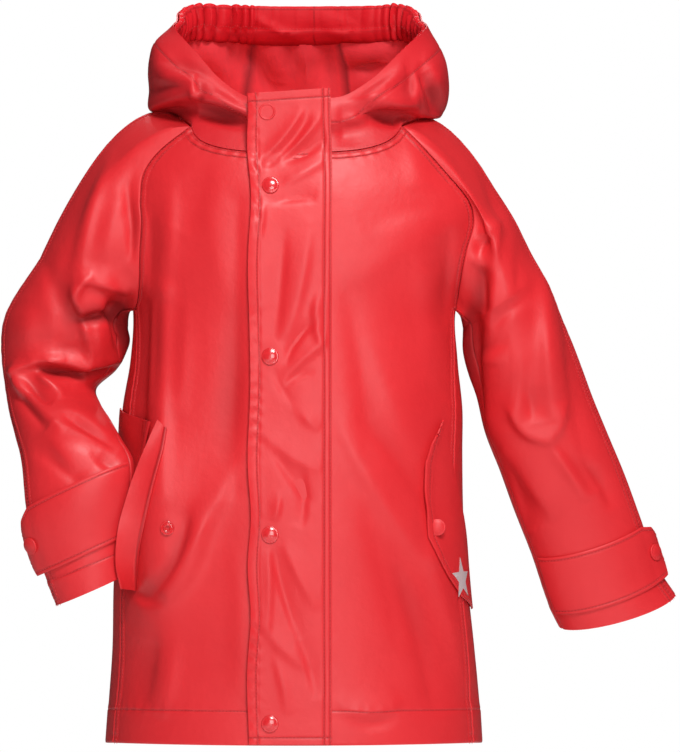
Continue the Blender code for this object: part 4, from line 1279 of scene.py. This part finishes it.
# Rows from neck to brim, columns from centre front round the wearer's left.
hood_rows = spread(HOOD_LENGTH, fine_start=True, coarse=2.4)
casing_row = len(hood_rows)
lines = np.concatenate([hood_lines(1), hood_lines(-1)[:, ::-1][:, 1:]], axis=1)
hood = []
for line in lines.transpose(1, 0, 2):
    along = length_along(line)
    casing = along[-1] - CASING
    hood.append(resampled(line, along, np.append(
        casing * hood_rows, np.linspace(casing, along[-1], CASING_ROWS + 1)[1:])))
hood = np.array(hood).transpose(1, 0, 2)
valleys = valley_shares(hood[-1])
facing = grid_normals(hood)[..., 1]
height = (relief(HOOD_FOLDS, hood) * in_front(facing)
          + relief(HOOD_BACK_FOLDS, hood) * ease((facing - 0.1) / 0.5))
from_neck, from_brim = edge_distance(hood, "first row"), edge_distance(hood, "last row")
height *= (HOOD_FOLD_STRENGTH * ease(from_neck / HOOD_NECK_CALM)
           * ease((from_brim - HOOD_BRIM_FLAT) / HOOD_BRIM_CALM))
puff = gathers(np.linspace(0, 1, hood.shape[1])[None, :], from_brim / CASING)[0]
puff = puff * hump(from_brim, SHELL_PUFF_REACH) * ease(from_brim / 7)
puff = SHELL_PUFF * (puff * ease((facing + 0.1) / 0.5))
groove = CASING_GROOVE * hump(from_brim - CASING, 0.9)
hood, hood_normals = raised(hood, height + puff - groove)

angle = plan_angle(hood[0])
middle = hood.shape[1] // 2
seams = (int(np.argmin(np.abs(angle[:middle] - HOOD_SEAM_ANGLE))),
         middle + int(np.argmin(np.abs(angle[middle:] - HOOD_SEAM_ANGLE))))
hood_cloth = coated_cloth("hood_cloth", light=(0.68, 0.020, 0.027), deep=(0.60, 0.012, 0.019),
                          roughness=0.50, creasing=1.3)

lining_cloth, shader, place = new_material("lining_cloth", {"Sheen Weight": 0.15,
                                                            "Sheen Roughness": 0.5})
weave = [place.node("ShaderNodeTexWave", {"Vector": place, "Scale": 420.0, "Distortion": 0.6},
                    bands_direction=way) for way in ("DIAGONAL", "Z")]
dye_and_shade = mix(noise(place, 30.0, 4.0) * 1.4 - 0.2, (0.80, 0.026, 0.040), (0.92, 0.044, 0.060))
# Painted shade: the fold valleys and the seam lines darken the lining's dyed colour.
dye_and_shade = mix(mark(place, "painted_fold_shade") * 0.75, dye_and_shade, (0.40, 0.008, 0.014))
feed(shader, "Base Color", mix(mark(place, "seam_tone_and_shade") * 0.85, dye_and_shade, (0.28, 0.006, 0.012)))
feed(shader, "Roughness", noise(place, 200.0) * 0.12 + 0.62)
rise = (weave[0] + weave[1]) * 0.00006 + noise(place, 70.0, 4.0) * 0.0009
feed(shader, "Normal", place.node("ShaderNodeBump", {"Height": rise, "Distance": 1.0,
                                                     "Strength": 0.7}))

for word, first, last in (("left", 0, seams[0]), ("center", *seams),
                          ("right", seams[1], hood.shape[1] - 1)):
    finishes = {} if word == "left" else {"first column": "fell"}
    if word != "right":
        finishes["last column"] = "plain"
    seam_lines = [(edge, 0.0) for edge in finishes]
    grid, normals = sewn(hood[:, first:last + 1], finishes, pucker=0.2)
    # Painted shade in the valleys of the hood's folds, where they face forward.
    painted_shade = deep_folds(HOOD_FOLDS, grid, HOOD_FOLD_STRENGTH) * in_front(normals[..., 1])
    rows = () if word == "left" else (("first column", FELL_WIDTH),)
    add_panel(f"hood_{word}", grid, normals, HOOD_CUTS_M[word], "gathered",
              (*rows, ("first row", EDGE_STITCH), ("last row", CASING)),
              (*seam_lines, ("last row", CASING)), painted_shade, hood_cloth)

    across = np.append(np.arange(first, last, 2), last)
    grid, normals = (item[:casing_row + 1:2][:, across] for item in (hood, hood_normals))
    dent = LINING_STANDS + (LINING_FOLD_STRENGTH * relief(LINING_FOLDS, grid)
                            * ease((normals[..., 1] - 0.1) / 0.4))
    dent *= ease(edge_distance(grid, "first row") / LINING_NECK_CALM)
    dent *= ease((edge_distance(grid, "last row") - LINING_CASING_FLAT) / LINING_CASING_CALM)
    for edge in finishes:
        dent = dent + LINING_SEAM_DENT * hump(edge_distance(grid, edge) - 2.0, 1.4)
    face = grid - normals * (CLOTH + LINING_GAP + np.maximum(dent, 0))[..., None]
    node = f"hood_lining_{word}"
    mesh = wall(node, face, face - normals * LINING, seam_shade_marks(grid, *seam_lines),
                deep_folds(LINING_FOLDS, grid, LINING_FOLD_STRENGTH))
    width, length, area = LINING_CUTS_M[word]
    add_piece(mesh, lining_cloth, node)

casing_cloth = coated_cloth("casing_cloth", light=(0.74, 0.014, 0.024), deep=(0.66, 0.009, 0.016),
                            roughness=0.56, creasing=1.2, gloss=0.14)
facing_row = int(np.argmin(np.abs(from_brim[:, middle] - CASING - FACING)))
dense = np.linspace(0, hood.shape[1] - 1, (len(valleys) - 1) * COLUMNS_PER_PLEAT + 1)
cell = np.minimum(dense.astype(int), hood.shape[1] - 2)
part = (dense - cell)[None, :, None]
band, band_normals = (between(item[facing_row:, cell], item[facing_row:, cell + 1], part)
                      for item in (hood, hood_normals))
band_normals = unit(band_normals)
below_brim = edge_distance(band, "last row")
pleats, pleat_count, pleat_strength = gathers((dense / (hood.shape[1] - 1))[None, :],
                                              below_brim / CASING)
puffed = ease(below_brim / 5) * ease((CASING - 1 - below_brim) / 6)
below_casing = ease((below_brim - CASING) / 5)
frill = (PLEAT_LEAST + 0.58 * puffed
         + PLEAT_SPREADS * below_casing * ease((CASING + FACING - below_brim) / 6))
sunk = CLOTH + BRIM_GAP + CASING_SINKS * ease((below_brim - CASING + 6) / 5)
outer = band - band_normals * sunk[..., None]
slack = 1.0 + relief(CASING_FOLDS, band) * (band[..., 1] > 0)
slack = slack * ease(below_brim / 3) * ease(edge_distance(band, "first row") / 5)
inner = outer - band_normals * (CLOTH + CASING_PUFF * pleats * frill + slack)[..., None]
lifted = (PLEAT_LIFT * pleats * np.exp(-below_brim / 5))[..., None] * np.array([0, 0, 1.0])
outer, inner = outer + lifted, inner + lifted
# Painted shade in the pleats' deepest valleys, added to the seam marks.
deepest = hump(np.abs(np.sin(math.pi * pleat_count)), 0.3)
marks = seam_shade_marks(band, *CASING_STITCHES, ("first row", 0.0))
marks = np.maximum(marks, VALLEY_PAINTED_SHADE * deepest * pleat_strength * ease(below_brim / 4))
marks = np.maximum(marks, hump(band[..., 0] - CASING_JOIN_X, SEAM_SHADE_WIDTH)
                   * (band[..., 1] > 0))
piece = add_piece(wall("hood_brim", outer, inner, marks), casing_cloth, "hood_brim")
for edge, distance in CASING_STITCHES:
    along_edge(inner, -grid_normals(inner), edge, distance)
sew("hood_stitches")

# --- Storm flap and its snaps -------------------------------------------------------------
# A doubled strip of the coated cloth over the closure, sewn down on the wearer's left with
# two rows of stitches and snapped along its free edge, which puckers.
PANEL_GAP = 1.2
FLAP = table("z right left stand", """
-540 -39 33.5 0.8
-400 -38 33.5 0.8
-250 -38 33.5 0.8
-110 -38 33.5 0.8
-25 -39 33.5 1
5 -40.5 32.5 3
27 -42 32 4
""")
FLAP_LEFT_RISE = 5.0
FLAP_TOP_Z = 27.0
FLAP_ABOVE_HEM = 1.0
FLAP_BLEND = 40.0
FLAP_LENGTH = 568.0
FLAP_ACROSS = 72.0
FLAP_CUT_M = (0.076, 0.572)
FLAP_FOLDS = table(FOLD_COLUMNS, """
6 10 -31 -32 0.12 4.2 2.2 0.1
21 3 -22 -33 0.14 4.5 2.4 0.1
12 3 -27 -39 0.12 3.5 -2 0.1
27 -13 -10 -33 0.12 5 -1.8 0.1
25 -32 -15 -54 0.1 6 1.6 0.1
-27 -47 -32 -25 0.1 4 1.2 0.2
-15 -68 21 -65 0.1 6 -1.5 0.1
-27 -72 -31 -103 0.05 4 1.2 0.1
13 -92 -8 -190 0.06 10 1.8 0.05
-9 -98 -17 -192 0.03 8 -1.9 0.05
21 -155 25 -194 -0.18 5 2 0.1
25 -194 -12 -231 -0.12 5 1.8 0.3
18 -174 -8 -212 -0.16 4.5 -2 0.1
14 -218 -8 -228 -0.2 4.5 -1.4 0.1
-17 -218 11 -259 -0.08 5 -1.4 0.05
-5 -238 23 -268 -0.1 6 1.5 0.1
-27 -268 25 -303 -0.2 7 1.3 0.1
-16 -285 20 -333 -0.12 6 -1.3 0.1
6 -303 6 -353 0.12 5 -1.5 0.1
-13 -327 -17 -348 0.1 4 1.4 0.1
-17 -369 6 -450 -0.06 5 -1.6 0.02
-8 -368 21 -424 -0.05 6 1.4 0.05
-22 -370 -24 -450 0.05 4.5 1.3 0.05
-27 -433 16 -475 -0.2 7 1.2 0.1
6 -450 21 -502 0.05 6 -1.2 0.1
-15 -468 -5 -515 0.05 5 1.1 0.1
""")
FLAP_STITCHES = (("last column", 1.5), ("last column", 7.0), ("first column", 8.0),
                 ("first row", 6.0), ("last row", 7.5))
FLAP_FOLD_STRENGTH = 1.3
FREE_EDGE_PUCKER = 0.85
FREE_PUCKER_PITCH = 13.0
FREE_PUCKER_SLANT = 0.55
FREE_PUCKER_DRIFTS = ((2.4, 41.0), (0.9, 19.0))
FREE_PUCKER_FROM_EDGE = 5.0
FREE_EDGE_STANDS = 3.6      # how far the free edge stands off the front between snaps
FREE_EDGE_WAVE = 1.4        # how far it swings to the sides
FLAP_GROOVE = 0.6
FLAP_CALM = 9               # length from both edges over which the folds grow
SNAPS = table("x z", """
-23.6 11
-20.3 -54
-20.3 -204
-20.3 -359
-20.3 -523
""")
SNAP_RADIUS = 7.5
SNAP_HEIGHT = 3.0
SNAP_CALM = 13.0            # round a snap the cloth lies still
SNAP_FLATTENS = 0.9         # how much of the folds and of the free edge's stand a snap takes away
SNAP_HOLDS = 0.6
SNAP_LIFT = 0.1
SLOPE_STEP = 4.0            # how far beside a snap the flap's slope is read
CAP_SHARP_FROM = math.radians(50)
# Turned outlines, as shares of a cap's radius and height and in millimetres for the stud.
CAP = table("reach rise", """
0 0
0.97 0
1 0.16
1 0.34
0.97 0.48
0.91 0.57
0.86 0.56
0.82 0.57
0.74 0.68
0.60 0.81
0.42 0.92
0.24 0.98
0.10 1
0 1
""")
FLAT_CAP = table("reach rise", """
0 0
0.97 0
1 0.10
0.97 0.26
0.88 0.32
0.80 0.27
0.76 0.18
0.70 0.17
0.40 0.20
0 0.21
""")
STUD = table("reach rise", """
1.6 0
6 0
6.3 0.3
6.1 0.9
5.5 1.1
4.9 0.7
4.4 0.2
3.9 0.3
3.5 1.2
2.9 1.7
2.2 1.5
1.6 0.4
""")


def flap_point(x, z):
    """Point on the storm flap's plain face; above the neck it stands before the hood."""
    stand = read(FLAP, "stand", z) + CLOTH
    low = on_front(x, np.minimum(z, FRONT_NECK_Z), stand)
    neck_y = on_front(x, np.full(z.shape, FRONT_NECK_Z), stand)[..., 1]
    above = np.clip((z - FRONT_NECK_Z) / FLAP_BLEND, 0, 1)
    hood_y = -read(HOOD, "belly_r", 0 * z) - stand - CLOTH
    y = np.where(z > FRONT_NECK_Z, between(neck_y, hood_y, above), low[..., 1])
    return np.stack(np.broadcast_arrays(x, y, z), axis=-1)


flap_low = FRONT_HEM_Z + FLAP_ABOVE_HEM
z = (flap_low + (FLAP_TOP_Z - flap_low) * spread(FLAP_LENGTH, True, True, coarse=2.0))[:, None]
across = spread(FLAP_ACROSS, True, True, coarse=1.8)
rise = np.clip((z - FRONT_NECK_Z) / (FLAP_TOP_Z - FRONT_NECK_Z), 0, 1)
x = between(read(FLAP, "right", z), read(FLAP, "left", z), across)
z = z + FLAP_LEFT_RISE * rise * across
grid = flap_point(x, z)
flat_view = np.stack([x, x, z], axis=-1)
from_free = edge_distance(grid, "first column")
from_sewn = edge_distance(grid, "last column")
pucker = drifting(2 * math.pi * (z + FREE_PUCKER_SLANT * from_free) / FREE_PUCKER_PITCH, z,
                  FREE_PUCKER_DRIFTS)
swelling = 0.45 + 0.35 * np.sin(z / 37.0 + 2.0) + 0.3 * np.sin(z / 15.0)
pucker *= hump(from_free - FREE_PUCKER_FROM_EDGE, PUCKER_REACH) * swelling
height = relief(FLAP_FOLDS, flat_view) * ease(from_free / FLAP_CALM) * ease(from_sewn / FLAP_CALM)
height = FLAP_FOLD_STRENGTH * height + FREE_EDGE_PUCKER * pucker
for edge, distance in FLAP_STITCHES:
    height = height - FLAP_GROOVE * hump(edge_distance(grid, edge) - distance, 0.9)
height -= 0.8 * hump(from_sewn, SEAM_ROLL)
snap_dents = sum(np.exp(-(((x - snap_x) ** 2 + (z - snap_z) ** 2) / SNAP_CALM ** 2) ** 2)
                 for snap_x, snap_z in zip(*SNAPS.values()))
height = height * (1 - SNAP_FLATTENS * snap_dents)
height = height + FREE_EDGE_STANDS * np.exp(-from_free / 6) * (1 - SNAP_HOLDS * snap_dents)
wave = FREE_EDGE_WAVE * drifting(z / 19.0, z, ((1.3, 61.0),)) * np.exp(-from_free / 10)
grid = raised(grid, height)[0] + np.stack([wave, 0 * wave, 0 * wave], -1)
# Shade is painted into the valleys of the flap's folds.
add_panel("storm_flap", grid, grid_normals(grid), FLAP_CUT_M, "hung", FLAP_STITCHES, FLAP_STITCHES,
          deep_folds(FLAP_FOLDS, flat_view, FLAP_FOLD_STRENGTH),
          rests_on=["front_right", "front_left"])
sew("flap_stitches")

snap_plastic = mottled("snap_plastic", (0.66, 0.018, 0.024), (0.72, 0.026, 0.032),
                       grains=(300.0, 900.0, 3.0), rough=0.16, rough_spread=0.08,
                       fixed={"Coat Weight": 0.6, "Coat Roughness": 0.12})


def mend(mesh, action):
    """Lets one mesh operator change a mesh in place."""
    shape = bmesh.new()
    shape.from_mesh(mesh)
    action(shape)
    shape.to_mesh(mesh)
    shape.free()


def add_turned(node, centre, normal, outline=CAP, size=(SNAP_RADIUS, SNAP_HEIGHT),
               material=shell_cloth, sides=48):
    """A closed turned solid on the cloth, from distances to its axis and heights over it."""
    normal = unit(np.asarray(normal, float))
    aside = unit(np.cross(normal, [0.0, 0.0, 1.0]))
    up = np.cross(aside, normal)
    turns = np.linspace(0, 2 * math.pi, sides, endpoint=False)
    spokes = np.cos(turns)[:, None] * aside + np.sin(turns)[:, None] * up
    rings = [centre + spokes * reach + normal * rise
             for reach, rise in zip(size[0] * outline["reach"], size[1] * outline["rise"])]
    open_ring = outline["reach"][0] > 0
    count = len(rings)
    faces = []
    for ring in range(count if open_ring else count - 1):
        low, high = ring * sides, (ring + 1) % count * sides
        for spoke in range(sides):
            ahead = (spoke + 1) % sides
            faces.append((low + spoke, high + spoke, high + ahead, low + ahead))
    mesh = mesh_of(node, np.vstack(rings) * MM, faces)
    if not open_ring:
        mend(mesh, lambda shape: bmesh.ops.remove_doubles(shape, verts=shape.verts, dist=1e-6))
    mesh.shade_smooth()
    mesh.set_sharp_from_angle(angle=CAP_SHARP_FROM)
    add_piece(mesh, material, node)


for number, (x, z) in enumerate(zip(*SNAPS.values()), start=1):
    pair = SLOPE_STEP * np.array([[-1, 0], [1, 0], [0, -1], [0, 1]])
    near = flap_point(x + pair[:, 0], z + pair[:, 1])
    normal = unit(np.cross(near[1] - near[0], near[3] - near[2]))
    top = number == 1       # the top snap is a flat ring in the cloth's own finish
    add_turned(f"snap_{number}", near.mean(axis=0) + normal * SNAP_LIFT, normal,
               FLAT_CAP if top else CAP, material=shell_cloth if top else snap_plastic)

# --- Pockets ------------------------------------------------------------------------------
# Slanted side pockets under flaps. The right one is pushed open by the tucked cuff, so that
# its turned front edge and bare stud show. The left flap is snapped shut.
MOUTH_LIFT = 0.6            # the turned edge lies flush where it is stitched
MOUTH_LENGTH = 165.0
MOUTH_WIDTH = 24.0
MOUTH_STITCH = 2.0
MOUTH_ROLL = 1.1            # how round the turned edge is between its stitches and its rim
MOUTH_CUT_M = (0.026, 0.160)
MOUTH = table("share stitch_x stitch_z edge_x edge_z edge_y", """
0 -110.5 -268 -119.5 -259 -101
0.15 -113.5 -286 -128 -279 -102
0.35 -120.5 -312 -139 -306 -102
0.6 -129 -345 -153 -352 -104
0.8 -136 -376 -156 -380 -104
1 -140 -410 -152 -407 -100
""")
OPEN_FLAP = table("z_free z_sewn free sewn stand", """
-262 -250 45 86 2
-300 -290 52 84 0.5
-345 -340 60 83 0.3
-385 -388 66 82 0.3
""")
CLOSED_FLAP = table("z_free z_sewn free sewn stand", """
-267 -260 52.5 56 0
-281 -276 48 59.5 0
-297 -297 45.5 64.5 0
-330 -331 45 73 0
-362 -363 46 83 0
-380 -385 50 89 0
-400 -403 57 95 0
-417 -417 66 100 0
-429 -430 82 104 0
""")
FLAP_HEIGHT = 190.0
FLAP_WIDTH = 60.0
FLAP_STITCH = 7.0
STITCH_GROOVE = 0.5
FLAP_STANDS = 3.0            # how far the left flap's free edge stands off above its lower end
FLAP_LIES_BELOW = -362.0
SNAP_Z = -354.0
STUD_X = -110.0
POCKET_SNAP_X = 126.0
POCKET_SNAP_LIFT = 2.2 + PANEL_GAP      # from the front out to the face of the closed flap
OPEN_FLAP_CUT_M = (0.065, 0.145, 0.0075)
CLOSED_FLAP_CUT_M = (0.085, 0.19, 0.0105)


def denser(source, length, coarse):
    """A table's columns at close places between its rows, which count as evenly spaced."""
    last = len(next(iter(source.values()))) - 1
    places = last * spread(length, True, True, coarse=coarse)
    return {key: np.interp(places, np.arange(last + 1), values) for key, values in source.items()}


shares = spread(MOUTH_LENGTH, True, True, coarse=2.4)
line = {name: read(MOUTH, name, shares) for name in MOUTH}
stitched = on_front(line["stitch_x"], line["stitch_z"], MOUTH_LIFT)
free = np.stack([line["edge_x"], line["edge_y"], line["edge_z"]], axis=-1)
across = spread(MOUTH_WIDTH, True, True, coarse=1.4)[None, :, None]
grid = between(stitched[:, None], free[:, None], across)[::-1]
from_stitch = edge_distance(grid, "first column")
from_edge = edge_distance(grid, "last column")
share = np.clip(from_stitch / (from_stitch + from_edge + 1e-6), 0, 1)
height = MOUTH_ROLL * np.sin(math.pi * share)
ripple = drifting(grid[..., 2] / 7.0, grid[..., 2], ((0.4, 17.0),)) * np.exp(-from_edge / 8)
height += 0.5 * ripple - 0.7 * hump(from_stitch - MOUTH_STITCH, 0.9)
rows = (("first column", MOUTH_STITCH),)
add_panel("pocket_edge_right", *raised(grid, height), MOUTH_CUT_M, "folded", rows, rows,
          rests_on=["front_right"])

for side, source, cut in ((-1, OPEN_FLAP, OPEN_FLAP_CUT_M), (1, CLOSED_FLAP, CLOSED_FLAP_CUT_M)):
    column = {key: values[:, None] for key, values in denser(source, FLAP_HEIGHT, 2.6).items()}
    across = spread(FLAP_WIDTH, True, True, coarse=2.4)[None, :]
    angle = between(column["free"], column["sewn"], across)
    z = between(column["z_free"], column["z_sewn"], across)
    lift = CLOTH + PANEL_GAP + column["stand"] * (1 - across)
    grid = outward(torso_surface(side, angle, z, lift)[::-1], side)
    free_edge = side_seams[::side][0]
    gap = edge_distance(grid, free_edge)
    height = -STITCH_GROOVE * hump(gap - FLAP_STITCH, 0.9) - 0.5 * hump(gap, SEAM_ROLL)
    if side > 0:
        height += FLAP_STANDS * ease((grid[..., 2] - FLAP_LIES_BELOW) / 30) * hump(gap, 9.0)
    rows = ((free_edge, FLAP_STITCH),)
    add_panel(f"pocket_flap_{word_of(side)}", *raised(grid, height), cut, "hung", rows, rows)
sew("pocket_stitches")

for node, x, lift, seat, look in (
        ("pocket_stud_right", STUD_X, 0.0, 0.5,
         {"outline": STUD, "size": (1, 1), "material": snap_plastic}),
        ("pocket_snap_left", POCKET_SNAP_X, POCKET_SNAP_LIFT, 0.2, {})):
    centre = on_front(np.array(x), np.array(SNAP_Z), lift)
    normal = centre - on_front(np.array(x), np.array(SNAP_Z), lift - 1.0)
    add_turned(node, centre + unit(normal) * seat, normal, **look)

# --- Cuff tabs ----------------------------------------------------------------------------
# A pointed tab of doubled cloth lies round the front of each cuff, sewn into the underarm
# seam and snapped near its tip.
TAB = table("turn upper lower stand", """
150 0 1 1.2
128 0 1 1.2
104 0 1 1.2
78 0 1 1.2
50 0 1 1.4
25 0 1 3
8 0.12 1 6.5
-2 0.32 0.78 8
""")
TAB_ROWS = (7, 8)           # rows of the arms' tables between which a tab lies
TAB_LENGTH = 125.0
TAB_WIDTH = 58.0
TAB_STITCH = 3.4
TAB_GROOVE = 0.45
TAB_SNAP_FROM_TIP = 14.0
TAB_CUT_M = (0.128, 0.062)
column = denser(TAB, TAB_LENGTH, 1.8)
for side in (-1, 1):
    upper, lower = arm_rings(side)[0][list(TAB_ROWS)]
    grid = []
    for across in spread(TAB_WIDTH, True, True, coarse=1.8):
        parts = between(column["upper"], column["lower"], across)
        grid.append([])
        for part, turn, stand in zip(parts, column["turn"], column["stand"]):
            point, normal = arm_ring(side, upper + (lower - upper) * part, np.array([turn]))
            grid[-1].append((point + normal * (stand + CLOTH))[0])
    grid = outward(np.array(grid), side)[::-1]
    tip = side_seams[::side][-1]
    rows = tuple((edge, TAB_STITCH) for edge in ("first row", "last row", tip))
    height = np.zeros(grid.shape[:2])
    for edge, distance in rows:
        gap = edge_distance(grid, edge)
        height -= TAB_GROOVE * hump(gap - distance, 0.8) + 0.5 * hump(gap, 0.7)
    grid, normals = raised(grid, height)
    add_panel(f"cuff_tab_{word_of(side)}", grid, normals, TAB_CUT_M, "folded", rows, rows,
              rests_on=[f"sleeve_{word_of(side)}_front"])
    row = grid.shape[0] // 2
    spot = int(np.argmin(np.abs(edge_distance(grid, tip)[row] - TAB_SNAP_FROM_TIP)))
    add_turned(f"cuff_snap_{word_of(side)}", grid[row, spot] + normals[row, spot] * SNAP_LIFT,
               normals[row, spot])
sew("tab_stitches")

# --- Star -----------------------------------------------------------------------------------
# A plain silver star of reflective film, pressed on the wearer's left pocket flap.
STAR_RADIUS = 19.0
STAR_WAIST = 0.42           # inner corners' distance from the middle, as a share of the points'
STAR_ANGLE = 67.5
STAR_Z = -401.0
FILM = 0.25
FILM_LIFT = CLOTH + PANEL_GAP + 0.12
EDGE_PARTS = 6
STAR_CORNERS = 10           # five points and the five inner corners between them
STAR_RINGS = 8
corners = [STAR_RADIUS * (1 if turn % 2 == 0 else STAR_WAIST) * np.array(
    [math.sin(turn * math.pi / 5), math.cos(turn * math.pi / 5)]) for turn in range(STAR_CORNERS)]
outline = np.array([corner + (ahead - corner) * part / EDGE_PARTS
                    for corner, ahead in zip(corners, corners[1:] + corners[:1])
                    for part in range(EDGE_PARTS)])
rim = np.linspace(0.02, 1, STAR_RINGS)[:, None, None] * outline
mm_per_degree = np.linalg.norm(torso_point(1, np.array(STAR_ANGLE + 1), np.array(STAR_Z))
                               - torso_point(1, np.array(STAR_ANGLE), np.array(STAR_Z)))
star_angle, star_z = STAR_ANGLE + rim[..., 0] / mm_per_degree, STAR_Z + rim[..., 1]
layers = [torso_surface(1, star_angle, star_z, FILM_LIFT + rise).reshape(-1, 3)
          for rise in (FILM, 0.0)]
rings, spokes = rim.shape[:2]
count = rings * spokes
faces = [tuple(range(spokes))[::-1], tuple(range(count, count + spokes))]
for spoke in range(spokes):
    ahead = (spoke + 1) % spokes
    for ring in range(rings - 1):
        low, high = ring * spokes, (ring + 1) * spokes
        faces.append((low + spoke, low + ahead, high + ahead, high + spoke))
        faces.append(tuple(count + corner for corner in (low + spoke, high + spoke, high + ahead,
                                                         low + ahead)))
    last = (rings - 1) * spokes
    faces.append((last + spoke, last + ahead, count + last + ahead, count + last + spoke))
star_mesh = mesh_of("star", np.vstack(layers) * MM, faces)
mend(star_mesh, lambda shape: bmesh.ops.recalc_face_normals(shape, faces=shape.faces))
star_mesh.materials.append(mottled("silver_film", (0.56, 0.50, 0.51), (0.70, 0.64, 0.65),
                                   grains=(700.0, 900.0), rough=0.35, rough_spread=0.15,
                                   fixed={"Metallic": 0.15}))
ridden("star", star_mesh)
